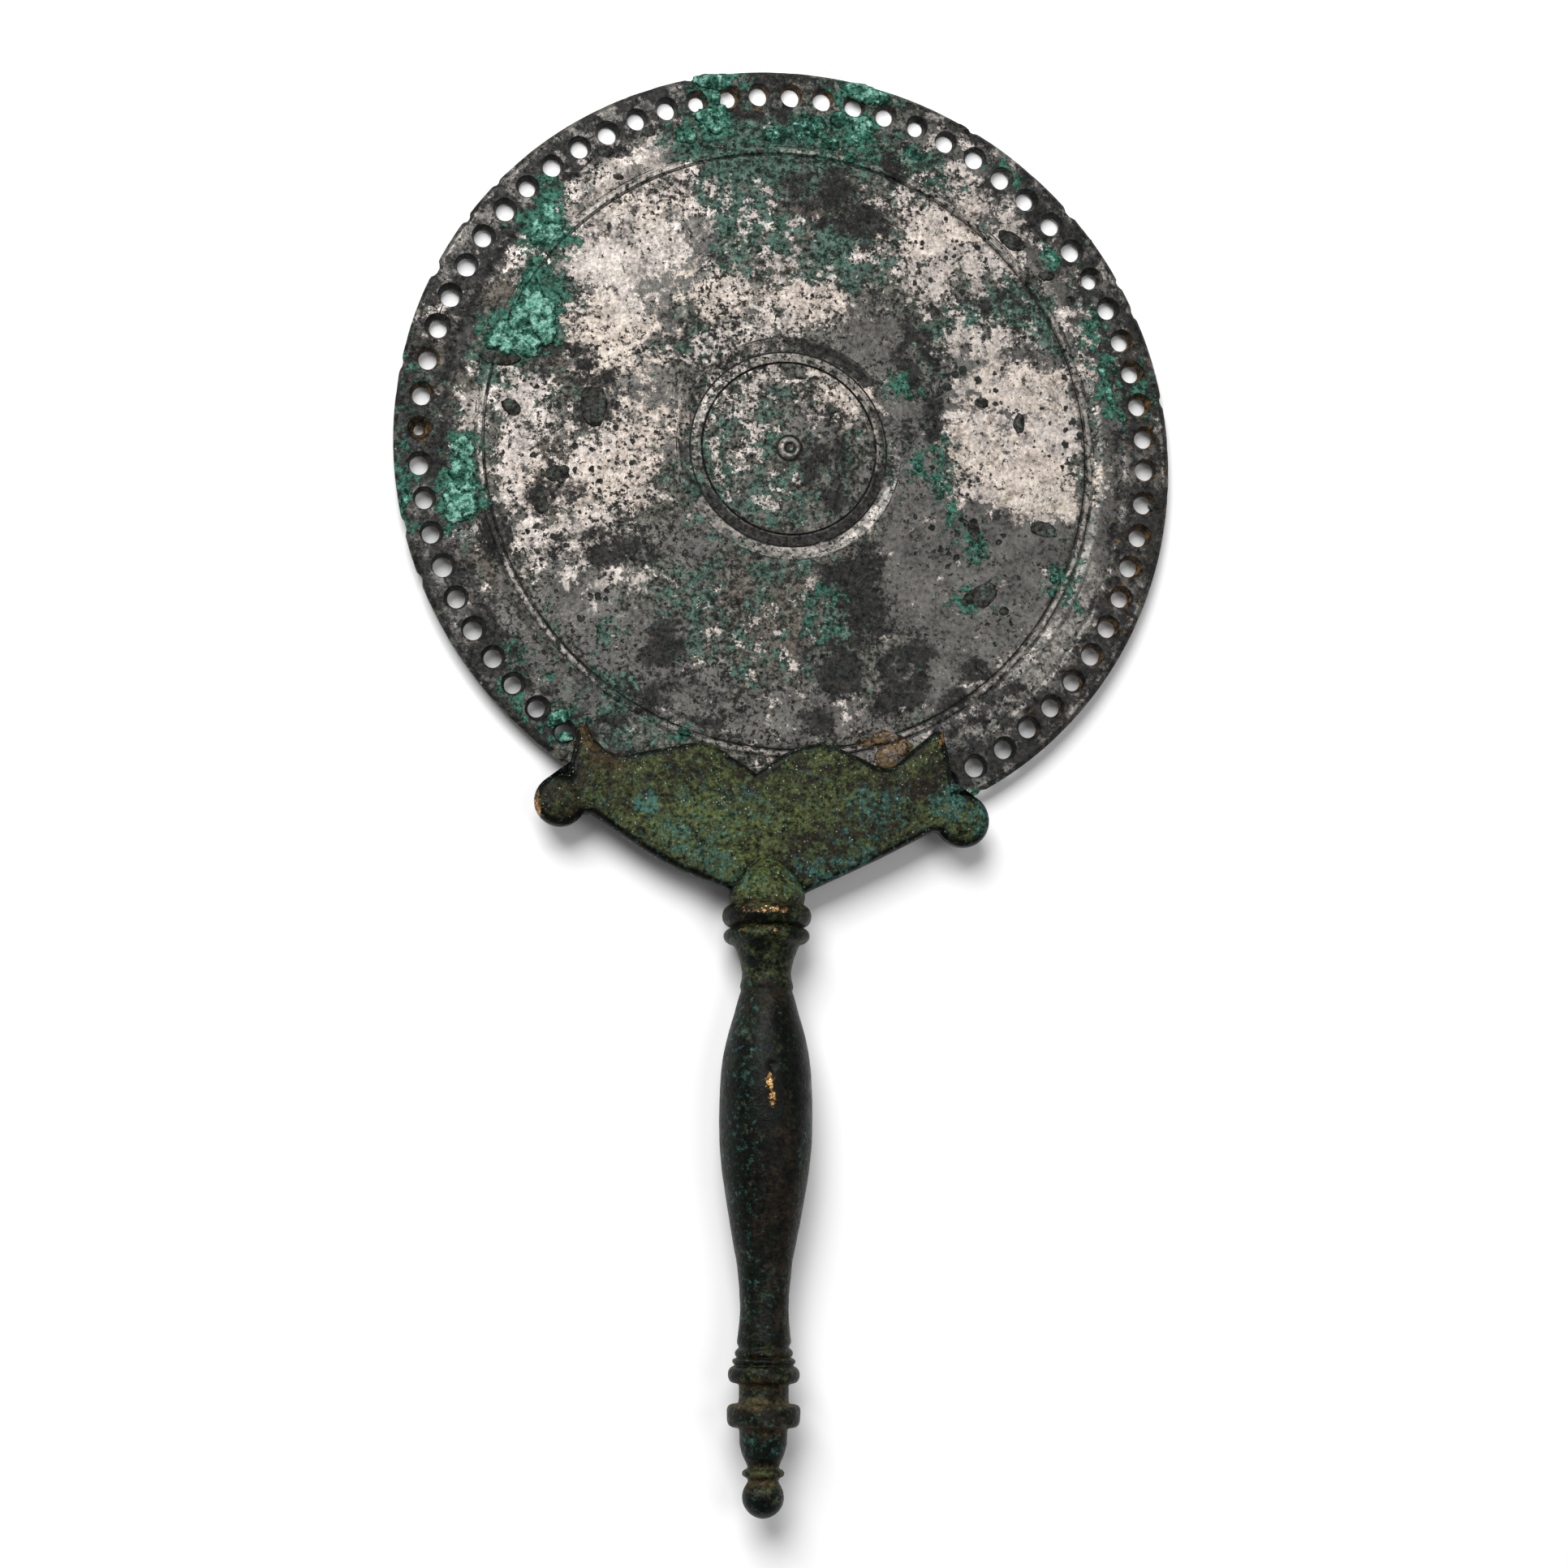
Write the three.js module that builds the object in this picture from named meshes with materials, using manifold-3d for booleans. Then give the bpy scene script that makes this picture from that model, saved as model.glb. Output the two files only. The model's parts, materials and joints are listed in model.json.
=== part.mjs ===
// Roman bronze hand mirror: a turned disc with a pierced rim, and a cast handle whose
// winged bracket lies on the back of the disc. Millimetres, +Z up. The mirror lies with
// its turned back upwards, on the far edge of the disc and the upper ring of the handle.
//
// Every piece is drawn first in the mirror's own frame: origin at the centre of the disc,
// on its upper face, +Y away from the handle. The whole is then laid down on z = 0.

import * as THREE from 'three';
import { mergeVertices } from 'three/addons/utils/BufferGeometryUtils.js';
import Module from 'manifold-3d';

const wasm = await Module();
wasm.setup();

// ---- driving dimensions -------------------------------------------------------------

const disc = { radius: 62.5, thickness: 1.6, sides: 54 };
const knob = { radius: 1.9, height: 0.55, dimpleRadius: 0.8, dimpleFloor: 0.1 };
const innerMoulding = { scribe: 14.0, fall: 15.7, lip: 17.9, depth: 0.5 };
const outerMoulding = {
  ridgeIn: 48.6, ridgeOut: 49.8, ridgeHeight: 0.18,
  bandTop: 51.6, bandHeight: 0.25, bandFoot: 54.7, bandFootDepth: 0.12, step: 55.4,
};
const rim = { bevel: 0.7, bevelDrop: 0.5, underBevel: 0.6, underDrop: 0.35 };
const holes = {
  count: 68, pitchRadius: 58.5, topRadius: 1.85, bottomRadius: 1.4, sides: 8,
  firstAngle: 0.5, wander2: 0.7, wander3: 0.33,
};

const bracket = { thickness: 3.0, gap: 0.3, edgeRound: 0.7 };
const shaft = { offset: -3.65, sides: 20 };
const axisHeight = bracket.gap + bracket.thickness / 2;
const restRing = { station: 75.0, radius: 6.95, flat: 0.3 };

// Outline of one wing of the bracket, from the notch at the middle out to the knob and
// back to the shaft: across from the shaft's axis, and down from the disc's centre.
const leftWing = {
  side: -1,
  rise: [5.4, 50.4], lobe: [9.9, 48.1], fall: [15.8, 49.0], dip: [23.6, 50.3],
  hornInner: [27.2, 47.9], hornTip: [28.9, 46.4], tipRadius: 0.95, hornOuter: [30.3, 49.6],
  shoulder: [31.2, 53.4], knob: [32.3, 57.9], knobRadius: 4.0,
  heel: [27.9, 59.6], belly: [16.2, 67.0], root: [5.6, 71.2],
};
const rightWing = {
  side: 1,
  rise: [3.0, 49.3], lobe: [8.7, 47.7], fall: [13.8, 49.4], dip: [19.0, 51.3],
  hornInner: [23.3, 48.0], hornTip: [27.1, 46.2], tipRadius: 1.1, hornOuter: [28.9, 49.4],
  shoulder: [29.4, 53.4], knob: [31.1, 59.3], knobRadius: 4.2,
  heel: [26.6, 61.0], belly: [17.0, 66.0], root: [6.6, 71.0],
};
const notch = [-1.8, 52.7];
const knobThickness = 4.6;

// ---- small helpers ------------------------------------------------------------------

const radians = THREE.MathUtils.degToRad;

// A closed three.js geometry as a solid that can be joined and cut.
function toSolid(geometry) {
  const bare = geometry.clone();
  bare.deleteAttribute('normal');
  bare.deleteAttribute('uv');
  const merged = mergeVertices(bare, 1e-5);
  const mesh = new wasm.Mesh({
    numProp: 3,
    vertProperties: new Float32Array(merged.attributes.position.array),
    triVerts: new Uint32Array(merged.index.array),
  });
  return new wasm.Manifold(mesh);
}

function toGeometry(solid) {
  const mesh = solid.getMesh();
  const geometry = new THREE.BufferGeometry();
  geometry.setAttribute('position', new THREE.BufferAttribute(mesh.vertProperties, 3));
  geometry.setIndex(new THREE.BufferAttribute(mesh.triVerts, 1));
  geometry.computeVertexNormals();
  return geometry;
}

// Half-round bead on a turned profile: from its near edge over the crest to its far edge.
function bead(centre, halfWidth, foot, crest, steps = 4) {
  return Array.from({ length: steps + 1 }, (_, i) => {
    const turn = (Math.PI * i) / steps;
    return [centre - halfWidth * Math.cos(turn), foot + (crest - foot) * Math.sin(turn)];
  });
}

// Smooth stretch of a turned profile through a few stations.
function sweep(stations, count) {
  const points = stations.map(([along, radius]) => new THREE.Vector2(along, radius));
  return new THREE.SplineCurve(points).getPoints(count).map((p) => [p.x, p.y]);
}

// ---- the disc -----------------------------------------------------------------------

// Upper face from the centre outwards, then round the rim and back under the disc.
// The mouldings are shallow turned lines: a knob, a cove round the middle, and a ridge
// and a low band inside the row of holes.
function discProfile() {
  const { ridgeIn, ridgeOut, ridgeHeight, bandTop, bandHeight, bandFoot } = outerMoulding;
  const cove = (t) => innerMoulding.depth * (1 - t * t);
  const coveWidth = innerMoulding.lip - innerMoulding.fall;
  const coveRise = [0.5, 1].map((t) => [innerMoulding.fall + coveWidth * t, -cove(t)]);
  const points = [
    [0, knob.dimpleFloor],
    [knob.dimpleRadius, knob.height],
    [knob.radius - 0.5, knob.height],
    [knob.radius, 0],
    [innerMoulding.scribe - 0.15, 0],
    [innerMoulding.scribe, -0.25],
    [innerMoulding.scribe + 0.2, 0],
    [innerMoulding.fall, -innerMoulding.depth],
    ...coveRise,
    [ridgeIn - 0.4, 0],
    [ridgeIn, -0.2],
    [ridgeIn + 0.25, ridgeHeight],
    [ridgeOut, -0.2],
    [bandTop, bandHeight],
    [bandFoot, -outerMoulding.bandFootDepth],
    [outerMoulding.step, 0.05],
    [disc.radius - rim.bevel, 0],
    [disc.radius, -rim.bevelDrop],
    [disc.radius, rim.underDrop - disc.thickness],
    [disc.radius - rim.underBevel, -disc.thickness],
    [0, -disc.thickness],
  ];
  return points.reverse().map(([r, z]) => new THREE.Vector2(r, z));
}

// Angle of hole i, clockwise from +Y: even steps, with the slow drift of spacing that was
// stepped round by eye.
function holeAngle(i) {
  const turn = (2 * Math.PI * i) / holes.count;
  const drift = holes.wander2 * Math.sin(2 * turn + 0.2) + holes.wander3 * Math.sin(3 * turn + 0.7);
  return turn + radians(holes.firstAngle - drift);
}

function buildDisc() {
  const lathe = new THREE.LatheGeometry(discProfile(), disc.sides, Math.PI / disc.sides);
  lathe.rotateX(Math.PI / 2);
  const overshoot = 0.6;
  const height = disc.thickness + 2 * overshoot;
  const taper = (holes.topRadius - holes.bottomRadius) / disc.thickness;
  const punch = new THREE.CylinderGeometry(
    holes.topRadius + taper * overshoot, holes.bottomRadius - taper * overshoot,
    height, holes.sides,
  );
  punch.rotateX(Math.PI / 2);
  punch.translate(0, 0, -disc.thickness / 2);
  const punchSolid = toSolid(punch);
  let solid = toSolid(lathe);
  for (let i = 0; i < holes.count; i += 1) {
    const angle = holeAngle(i);
    const x = holes.pitchRadius * Math.sin(angle);
    const y = holes.pitchRadius * Math.cos(angle);
    solid = solid.subtract(punchSolid.translate([x, y, 0]));
  }
  return toGeometry(solid);
}

// ---- the handle ---------------------------------------------------------------------

// Turned profile of the shaft as [distance from the disc's centre, radius]: round nose
// on the bracket, two rings, waisted neck, long swelling grip, and a pommel of beads,
// drum, vase and ball.
function shaftProfile() {
  const nose = { tip: 64.9, base: 72.0, radius: 5.95 };
  const ball = { centre: 162.85, radius: 3.17 };
  const noseArc = [0, 0.4, 0.8, 1.2].map((turn) => [
    nose.base - (nose.base - nose.tip) * Math.cos(turn), nose.radius * Math.sin(turn)]);
  const ballArc = [0.33, 0.5, 0.67, 0.84, 1].map((t) => [
    ball.centre - ball.radius * Math.cos(Math.PI * t), ball.radius * Math.sin(Math.PI * t)]);
  return [
    ...noseArc,
    [nose.base, nose.radius],
    ...bead(restRing.station, 1.65, 5.7, restRing.radius),
    ...bead(78.1, 1.25, 5.3, 6.7),
    ...sweep([[79.7, 5.0], [81.5, 4.3], [83.9, 3.8], [86.0, 4.2]], 4),
    [86.6, 3.95],
    ...sweep([[86.9, 4.12], [89.8, 4.9], [94.1, 6.12], [98.9, 6.92], [105.0, 7.13],
      [112.5, 6.83], [121.0, 5.5], [128.5, 4.14], [135.0, 3.7], [140.0, 4.14]], 15),
    [140.6, 3.8],
    ...bead(141.5, 0.65, 4.0, 4.45),
    ...bead(142.75, 0.5, 4.35, 4.85, 2),
    ...bead(144.75, 1.25, 4.7, 5.48),
    [146.1, 3.8],
    [149.0, 3.8],
    [149.1, 5.1], [149.6, 5.6], [151.9, 5.5], [152.5, 5.0],
    [152.7, 3.65], [155.0, 3.58], [156.7, 3.1], [158.5, 2.4],
    ...bead(159.35, 0.65, 2.6, 3.28, 3),
    [160.4, 2.3],
    ...ballArc,
  ];
}

function buildShaft() {
  const profile = shaftProfile().map(([along, radius]) => new THREE.Vector2(Math.max(radius, 0), -along));
  profile[0].x = 0;
  profile[profile.length - 1].x = 0;
  const lathe = new THREE.LatheGeometry(profile.reverse(), shaft.sides);
  lathe.rotateY(Math.PI / shaft.sides);
  lathe.translate(0, 0, axisHeight);
  return toSolid(lathe);
}

// One side of the bracket's outline, from the notch to where it meets the shaft.
function wingOutline(wing) {
  const at = ([across, down]) => new THREE.Vector2(wing.side * across, -down);
  const arc = (centre, radius, degrees) => degrees.map((angle) => new THREE.Vector2(
    at(centre).x + wing.side * radius * Math.cos(radians(angle)),
    at(centre).y + radius * Math.sin(radians(angle))));
  const tip = arc(wing.hornTip, wing.tipRadius, [140, 100, 60, 20, -10]);
  const pad = arc(wing.knob, wing.knobRadius, [120, 80, 40, 0, -40, -80, -120, -150]);
  const crest = new THREE.SplineCurve([
    new THREE.Vector2(notch[0], -notch[1]), at(wing.rise), at(wing.lobe), at(wing.fall),
    at(wing.dip), at(wing.hornInner), tip[0],
  ]).getPoints(18);
  const outer = new THREE.SplineCurve([tip[4], at(wing.hornOuter), at(wing.shoulder)]).getPoints(4);
  const under = new THREE.SplineCurve([at(wing.heel), at(wing.belly), at(wing.root)]).getPoints(5);
  return [...crest, ...tip.slice(1, 4), ...outer, ...pad, ...under];
}

function buildBracket() {
  const outline = [...wingOutline(rightWing), ...wingOutline(leftWing).reverse().slice(0, -1)];
  const plate = new THREE.ExtrudeGeometry(new THREE.Shape(outline), {
    depth: bracket.thickness - 2 * bracket.edgeRound, steps: 1, bevelEnabled: true,
    bevelThickness: bracket.edgeRound, bevelSize: bracket.edgeRound,
    bevelOffset: -bracket.edgeRound, bevelSegments: 2,
  });
  plate.translate(0, 0, bracket.gap + bracket.edgeRound);
  let solid = toSolid(plate);
  for (const wing of [leftWing, rightWing]) {
    const pad = new THREE.SphereGeometry(wing.knobRadius, 12, 6);
    pad.rotateX(Math.PI / 2);
    pad.scale(0.98, 0.98, knobThickness / 2 / wing.knobRadius);
    pad.translate(wing.side * wing.knob[0], -wing.knob[1], axisHeight);
    solid = solid.add(toSolid(pad));
  }
  return solid;
}

// Slope of the mirror as it lies, from the flat on the upper ring to the disc's far edge.
const flatHeight = axisHeight - restRing.radius + restRing.flat;
const farEdge = disc.radius - rim.underBevel;
const restTilt = Math.atan2(-disc.thickness - flatHeight, farEdge + restRing.station);

// The flat spot that the mirror rests on, cut level with the surface it lies on.
function restCut() {
  const block = new THREE.BoxGeometry(12, 8, 4);
  block.translate(0, 0, -2);
  block.rotateX(restTilt);
  block.translate(0, -restRing.station, flatHeight);
  return toSolid(block);
}

function buildHandle() {
  const solid = buildShaft().add(buildBracket()).subtract(restCut());
  return toGeometry(solid);
}

// ---- the mirror, laid down ----------------------------------------------------------

const silveredBronze = new THREE.MeshStandardMaterial({
  name: 'high-tin bronze', color: 0x8a8580, roughness: 0.5, metalness: 0.6,
});
const patinatedBronze = new THREE.MeshStandardMaterial({
  name: 'patinated bronze', color: 0x343a28, roughness: 0.55, metalness: 0.4,
});

const discMesh = new THREE.Mesh(buildDisc(), silveredBronze);
discMesh.name = 'mirror_disc';

const handleMesh = new THREE.Mesh(buildHandle(), patinatedBronze);
handleMesh.name = 'handle';
handleMesh.position.x = shaft.offset;

const lying = new THREE.Group();
lying.add(discMesh, handleMesh);
lying.rotation.x = -restTilt;
lying.updateMatrixWorld(true);

const extent = new THREE.Box3().setFromObject(lying, true);
const middle = extent.getCenter(new THREE.Vector3());
lying.position.set(-middle.x, -middle.y, -extent.min.z);

const mirror = new THREE.Group();
mirror.name = 'bronze_mirror';
mirror.add(lying);

export default mirror;
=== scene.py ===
"""A Roman bronze hand mirror, laid on its polished face: the dressed surfaces of its two castings.

Shapes are worked out in the mirror's own frame, in millimetres. Its origin is the centre of the
disc's turned back, +Y points away from the handle, and +Z rises out of the back. LyingFrame
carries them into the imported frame, in metres, where the mirror lies on the floor.
"""
import json
import logging
import math
from dataclasses import dataclass
from enum import Enum

import bpy
import numpy as np
from mathutils import Matrix, Vector


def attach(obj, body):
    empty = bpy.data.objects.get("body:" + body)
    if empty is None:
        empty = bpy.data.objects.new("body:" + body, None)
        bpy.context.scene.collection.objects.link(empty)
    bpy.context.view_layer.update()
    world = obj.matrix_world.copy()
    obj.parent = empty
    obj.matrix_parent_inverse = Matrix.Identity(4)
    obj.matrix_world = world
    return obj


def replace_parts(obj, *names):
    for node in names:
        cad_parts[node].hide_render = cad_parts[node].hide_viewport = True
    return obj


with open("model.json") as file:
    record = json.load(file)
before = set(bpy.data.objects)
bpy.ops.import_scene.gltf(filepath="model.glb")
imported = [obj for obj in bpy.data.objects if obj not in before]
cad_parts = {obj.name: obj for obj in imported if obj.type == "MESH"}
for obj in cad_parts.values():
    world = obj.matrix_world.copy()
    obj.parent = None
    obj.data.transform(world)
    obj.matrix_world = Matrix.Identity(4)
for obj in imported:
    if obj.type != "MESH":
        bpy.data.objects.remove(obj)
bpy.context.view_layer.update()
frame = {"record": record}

logging.basicConfig(level=logging.INFO, format="%(message)s")
log = logging.getLogger("bronze_mirror")

Tree = bpy.types.NodeTree
Socket = bpy.types.NodeSocket
Stations = tuple[tuple[float, float], ...]

MM = 0.001

# Points closer than this, in mm, are one point.
WELD_MM = 1e-5

# Odd numbers that stir a cell's place and the seed into a fixed 32-bit value.
CELL_STIR = np.array([73856093, 19349663, 83492791])
SEED_STIR = 40503
BIT_STIRS = ((15, 2246822519), (13, 3266489917))
LAST_SHIFT = 16
FULL_WORD = 0xFFFFFFFF

# Shift between the octaves of a noise, in cells, so that their corners don't fall together.
OCTAVE_SHIFT = 17.3


# ---- the mirror's frame --------------------------------------------------------------------------

@dataclass(frozen=True)
class LyingFrame:
    """The mirror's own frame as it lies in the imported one.

    origin is the centre of the disc's back in millimetres, and the rows of axes are the mirror's
    X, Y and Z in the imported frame.
    """

    origin: np.ndarray
    axes: np.ndarray

    @classmethod
    def from_face(cls, mount: dict, thickness: float) -> "LyingFrame":
        """Works the frame out from the polished face, which looks down.

        Args:
            mount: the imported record's mount on the middle of that face.
            thickness: the disc's thickness, in mm.

        Returns:
            The frame, with X level and Z out of the disc's back.
        """
        rise = -np.array(mount["axis"])
        across = np.array([1.0, 0.0, 0.0])
        origin = np.array(mount["pos_m"]) / MM + rise * thickness
        return cls(origin, np.array([across, np.cross(rise, across), rise]))

    def place(self, points: np.ndarray) -> np.ndarray:
        """Carries points (..., 3) from the mirror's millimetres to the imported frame's metres."""
        return (self.origin + points @ self.axes) * MM


# ---- seeded unevenness ---------------------------------------------------------------------------

def cell_values(cells: np.ndarray, seed: int) -> np.ndarray:
    """Gives each whole-numbered cell a fixed random value.

    Args:
        cells: whole numbers (..., 3).
        seed: picks one of many such patterns.

    Returns:
        Values from -1 to 1, the same on every run.
    """
    mixed = cells @ CELL_STIR + seed * SEED_STIR
    for shift, factor in BIT_STIRS:
        mixed = (mixed ^ (mixed >> shift)) * factor & FULL_WORD
    return (mixed ^ (mixed >> LAST_SHIFT)) / (FULL_WORD / 2) - 1


def noise(points: np.ndarray, size: float, seed: int, octaves: int = 4,
          gain: float = 0.55) -> np.ndarray:
    """Smooth noise: random cell values blended between the eight corners of each cell, and summed
    over octaves, each half the size of the one before and weaker by gain.

    Args:
        points: places in mm (..., 3).
        size: the largest cell, in mm.
        seed: picks the pattern.
        octaves: how many sizes are summed.
        gain: weight of each octave against the one before.

    Returns:
        Values that spread from about -0.7 to 0.7.
    """
    total = np.zeros(points.shape[:-1])
    weight = 1.0
    reach = 0.0
    for octave in range(octaves):
        scaled = points * (2 ** octave / size) + OCTAVE_SHIFT * octave
        cell = np.floor(scaled).astype(np.int64)
        part = scaled - cell
        part = part * part * (3 - 2 * part)
        for corner in np.ndindex(2, 2, 2):
            step = np.array(corner)
            share = np.prod(np.where(step == 1, part, 1 - part), axis=-1)
            total += weight * share * cell_values(cell + step, seed + octave)
        reach += weight
        weight *= gain
    return total / reach


def blend(low: float, high: float, values: np.ndarray) -> np.ndarray:
    """Rises smoothly from 0 at low to 1 at high."""
    part = np.clip((values - low) / (high - low), 0, 1)
    return part * part * (3 - 2 * part)


def round_max(first: np.ndarray, second: np.ndarray, fillet: float) -> np.ndarray:
    """The higher of two surfaces, with the corner between them filled over about fillet mm."""
    part = np.clip(0.5 + 0.5 * (first - second) / fillet, 0, 1)
    return second * (1 - part) + first * part + fillet * part * (1 - part)


# ---- meshes in the making ------------------------------------------------------------------------

class Shell:
    """A mesh in the making: patches of points in mm and the quads between them."""

    def __init__(self) -> None:
        """Starts with no patches."""
        self.points: list[np.ndarray] = []
        self.quads: list[np.ndarray] = []
        self.count = 0

    def keep(self, points: np.ndarray, quads: np.ndarray) -> None:
        """Adds one patch.

        Args:
            points: its points (n, 3).
            quads: its quads (m, 4), which number those points from 0.
        """
        self.points.append(points)
        self.quads.append(quads + self.count)
        self.count += len(points)

    def sheet(self, grid: np.ndarray, around: bool = False, flip: bool = False) -> None:
        """Adds sheets of quads between the rows and columns of grids of points.

        Args:
            grid: points (..., rows, columns, 3). Faces look along column step x row step.
            around: joins the last column to the first.
            flip: turns the faces to look the other way.
        """
        rows, columns = grid.shape[-3:-1]
        index = np.arange(grid[..., 0].size).reshape(-1, rows, columns)
        if around:
            index = np.concatenate([index, index[..., :1]], axis=-1)
        corners = (index[:, :-1, :-1], index[:, :-1, 1:], index[:, 1:, 1:], index[:, 1:, :-1])
        quads = np.stack([corner.ravel() for corner in corners], axis=-1)
        self.keep(grid.reshape(-1, 3), quads[:, ::-1] if flip else quads)

    def stitch(self, inner: np.ndarray, outer: np.ndarray, flip: bool = False) -> None:
        """Joins two rings of different counts that start at the same angle. Each triangle steps
        along whichever ring is behind in its share of the full turn.

        Args:
            inner: the ring nearer the middle (n, 3).
            outer: the ring outside it (m, 3).
            flip: turns the faces to look down.
        """
        counts = (len(inner), len(outer))
        share = np.concatenate([np.arange(1, n + 1) / n for n in counts])
        outside = np.repeat([0, 1], counts)[np.argsort(share, kind="stable")]
        i = np.concatenate([[0], np.cumsum(1 - outside)]) % counts[0]
        j = np.concatenate([[0], np.cumsum(outside)]) % counts[1] + counts[0]
        ahead = np.where(outside == 1, j[1:], i[1:])
        quads = np.stack([i[:-1], j[:-1], ahead, ahead], axis=-1)
        self.keep(np.concatenate([inner, outer]), quads[:, ::-1] if flip else quads)

    def weld(self) -> tuple[np.ndarray, list[list[int]]]:
        """Merges points that coincide and closes the quads that this pinches.

        Returns:
            The points (n, 3), and the faces as lists of three or four of them.
        """
        points = np.concatenate(self.points)
        keys = np.round(points / WELD_MM).astype(np.int64)
        _, first, merged = np.unique(keys, axis=0, return_index=True, return_inverse=True)
        quads = merged[np.concatenate(self.quads)]
        pinched = quads == np.roll(quads, -1, axis=1)
        pinches = pinched.sum(axis=1)
        triangles = quads[pinches == 1][~pinched[pinches == 1]].reshape(-1, 3)
        return points[first], [*quads[pinches == 0].tolist(), *triangles.tolist()]


def folded_disc(radii: np.ndarray) -> np.ndarray:
    """A disc as a square grid folded into rings, so that its cells stay even. The cell (i, j) of
    the square lies on ring max(|i|, |j|), and each square ring of 8 k cells is pulled out to a
    circle of radii[k] with equal angles between its points.

    Args:
        radii: the rings' radii in mm, from 0 at the centre.

    Returns:
        Points (2 k + 1, 2 k + 1, 3) at height 0.
    """
    last = len(radii) - 1
    across, up = np.meshgrid(np.arange(-last, last + 1), np.arange(-last, last + 1))
    wide = np.abs(across) >= np.abs(up)
    ring = np.maximum(np.abs(across), np.abs(up))
    main = np.where(wide, across, up)
    ratio = np.where(wide, up, across) / np.where(main == 0, 1, main)
    start = np.where(wide, 0.0, math.pi / 2) + np.where(main < 0, math.pi, 0.0)
    angle = start + np.where(wide, 1, -1) * ratio * math.pi / 4
    return np.stack([radii[ring] * np.cos(angle), radii[ring] * np.sin(angle), 0.0 * angle], axis=-1)


def ring_points(radius: float, count: int, depth: float = 0.0) -> np.ndarray:
    """A ring of count points, anticlockwise from +X, with depth as their third number."""
    angle = 2 * math.pi * np.arange(count) / count
    return np.stack([radius * np.cos(angle), radius * np.sin(angle), np.full(count, depth)], axis=-1)


def through(stations: list[tuple[float, float]], count: int) -> np.ndarray:
    """A smooth curve through stations: on each span, the cubic whose slope at both ends is half
    the step between the neighbouring stations.

    Args:
        stations: the points (x, y) that it passes.
        count: how many points to return, evenly spaced from station to station.

    Returns:
        Points (count, 2).
    """
    fixed = np.array(stations, float)
    position = np.linspace(0, len(fixed) - 1, count)
    span = np.minimum(position.astype(int), len(fixed) - 2)
    t = (position - span)[:, None]
    before, start = fixed[np.maximum(span - 1, 0)], fixed[span]
    end, after = fixed[span + 1], fixed[np.minimum(span + 2, len(fixed) - 1)]
    slope_start, slope_end = (end - before) / 2, (after - start) / 2
    return ((2 * t ** 3 - 3 * t ** 2 + 1) * start + (t ** 3 - 2 * t ** 2 + t) * slope_start
            + (3 * t ** 2 - 2 * t ** 3) * end + (t ** 3 - t ** 2) * slope_end)


def even_steps(path: np.ndarray, count: int) -> np.ndarray:
    """Redraws a path with equal steps along it.

    Args:
        path: its points (n, 2).
        count: how many points to return.

    Returns:
        Points (count, 2).
    """
    length = np.concatenate([[0], np.cumsum(np.linalg.norm(np.diff(path, axis=0), axis=1))])
    along = np.linspace(0, length[-1], count)
    return np.stack([np.interp(along, length, path[:, k]) for k in (0, 1)], axis=-1)


# ---- where the patina lies -----------------------------------------------------------------------

# Size in mm of the bends in a patch's edge, and the seeds' step from the shift in x to that in y.
WANDER_SIZE = 6.0
ACROSS_SEED = 50


@dataclass(frozen=True)
class Patch:
    """An oval stain or crust: its middle, half-axes and turn (degrees) on the mirror, and how
    closely it covers the metal there, from 0 to 1. At 0.5 about half of it shows, as lace."""

    x: float
    y: float
    long: float
    short: float
    turn: float = 0.0
    cover: float = 1.0

    def depth(self, x: np.ndarray, y: np.ndarray) -> np.ndarray:
        """How far inside its edge each place is: oval radius times the shorter half-axis.

        Args:
            x: places across (n).
            y: places up (n).

        Returns:
            Depths in mm, below 0 outside (n).
        """
        turn = math.radians(self.turn)
        u = (x - self.x) * math.cos(turn) + (y - self.y) * math.sin(turn)
        v = (y - self.y) * math.cos(turn) - (x - self.x) * math.sin(turn)
        return (1 - np.hypot(u / self.long, v / self.short)) * min(self.long, self.short)


@dataclass(frozen=True)
class Strip:
    """A stain along part of a turned ring: radius and half width in mm, bearing clockwise from
    +Y and half sweep in degrees, and how closely it covers."""

    radius: float
    half_width: float
    bearing: float
    half_sweep: float
    cover: float = 1.0

    def depth(self, x: np.ndarray, y: np.ndarray) -> np.ndarray:
        """How far inside its nearest edge each place is.

        Args:
            x: places across (n).
            y: places up (n).

        Returns:
            Depths in mm, below 0 outside (n).
        """
        away = np.arctan2(x, y) - math.radians(self.bearing)
        sweep = np.abs((away + math.pi) % (2 * math.pi) - math.pi)
        radial = self.half_width - np.abs(np.hypot(x, y) - self.radius)
        return np.minimum(radial, (math.radians(self.half_sweep) - sweep) * self.radius)


def coverage(patches: tuple[Patch | Strip, ...], points: np.ndarray, seed: int, wander: float = 1.3,
             slope: float = 0.11) -> np.ndarray:
    """How closely a set of patches covers each point: 0.5 on a patch's edge, rising inwards by
    slope for each mm up to the patch's own cover. The places are shifted by noise first, so that
    no edge is a clean oval.

    Args:
        patches: Patch and Strip entries.
        points: places in mm (n, 3).
        seed: picks the shifts.
        wander: how far they go, in mm.
        slope: rise for each mm.

    Returns:
        Values from 0 to 1 (n).
    """
    flat = points * np.array([1.0, 1.0, 0.0])
    x = points[..., 0] + wander * 2 * noise(flat, WANDER_SIZE, seed)
    y = points[..., 1] + wander * 2 * noise(flat, WANDER_SIZE, seed + ACROSS_SEED)
    best = np.zeros(points.shape[:-1])
    for patch in patches:
        best = np.maximum(best, np.minimum(0.5 + patch.depth(x, y) * slope, patch.cover))
    return best


# ---- finishes ------------------------------------------------------------------------------------

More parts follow.
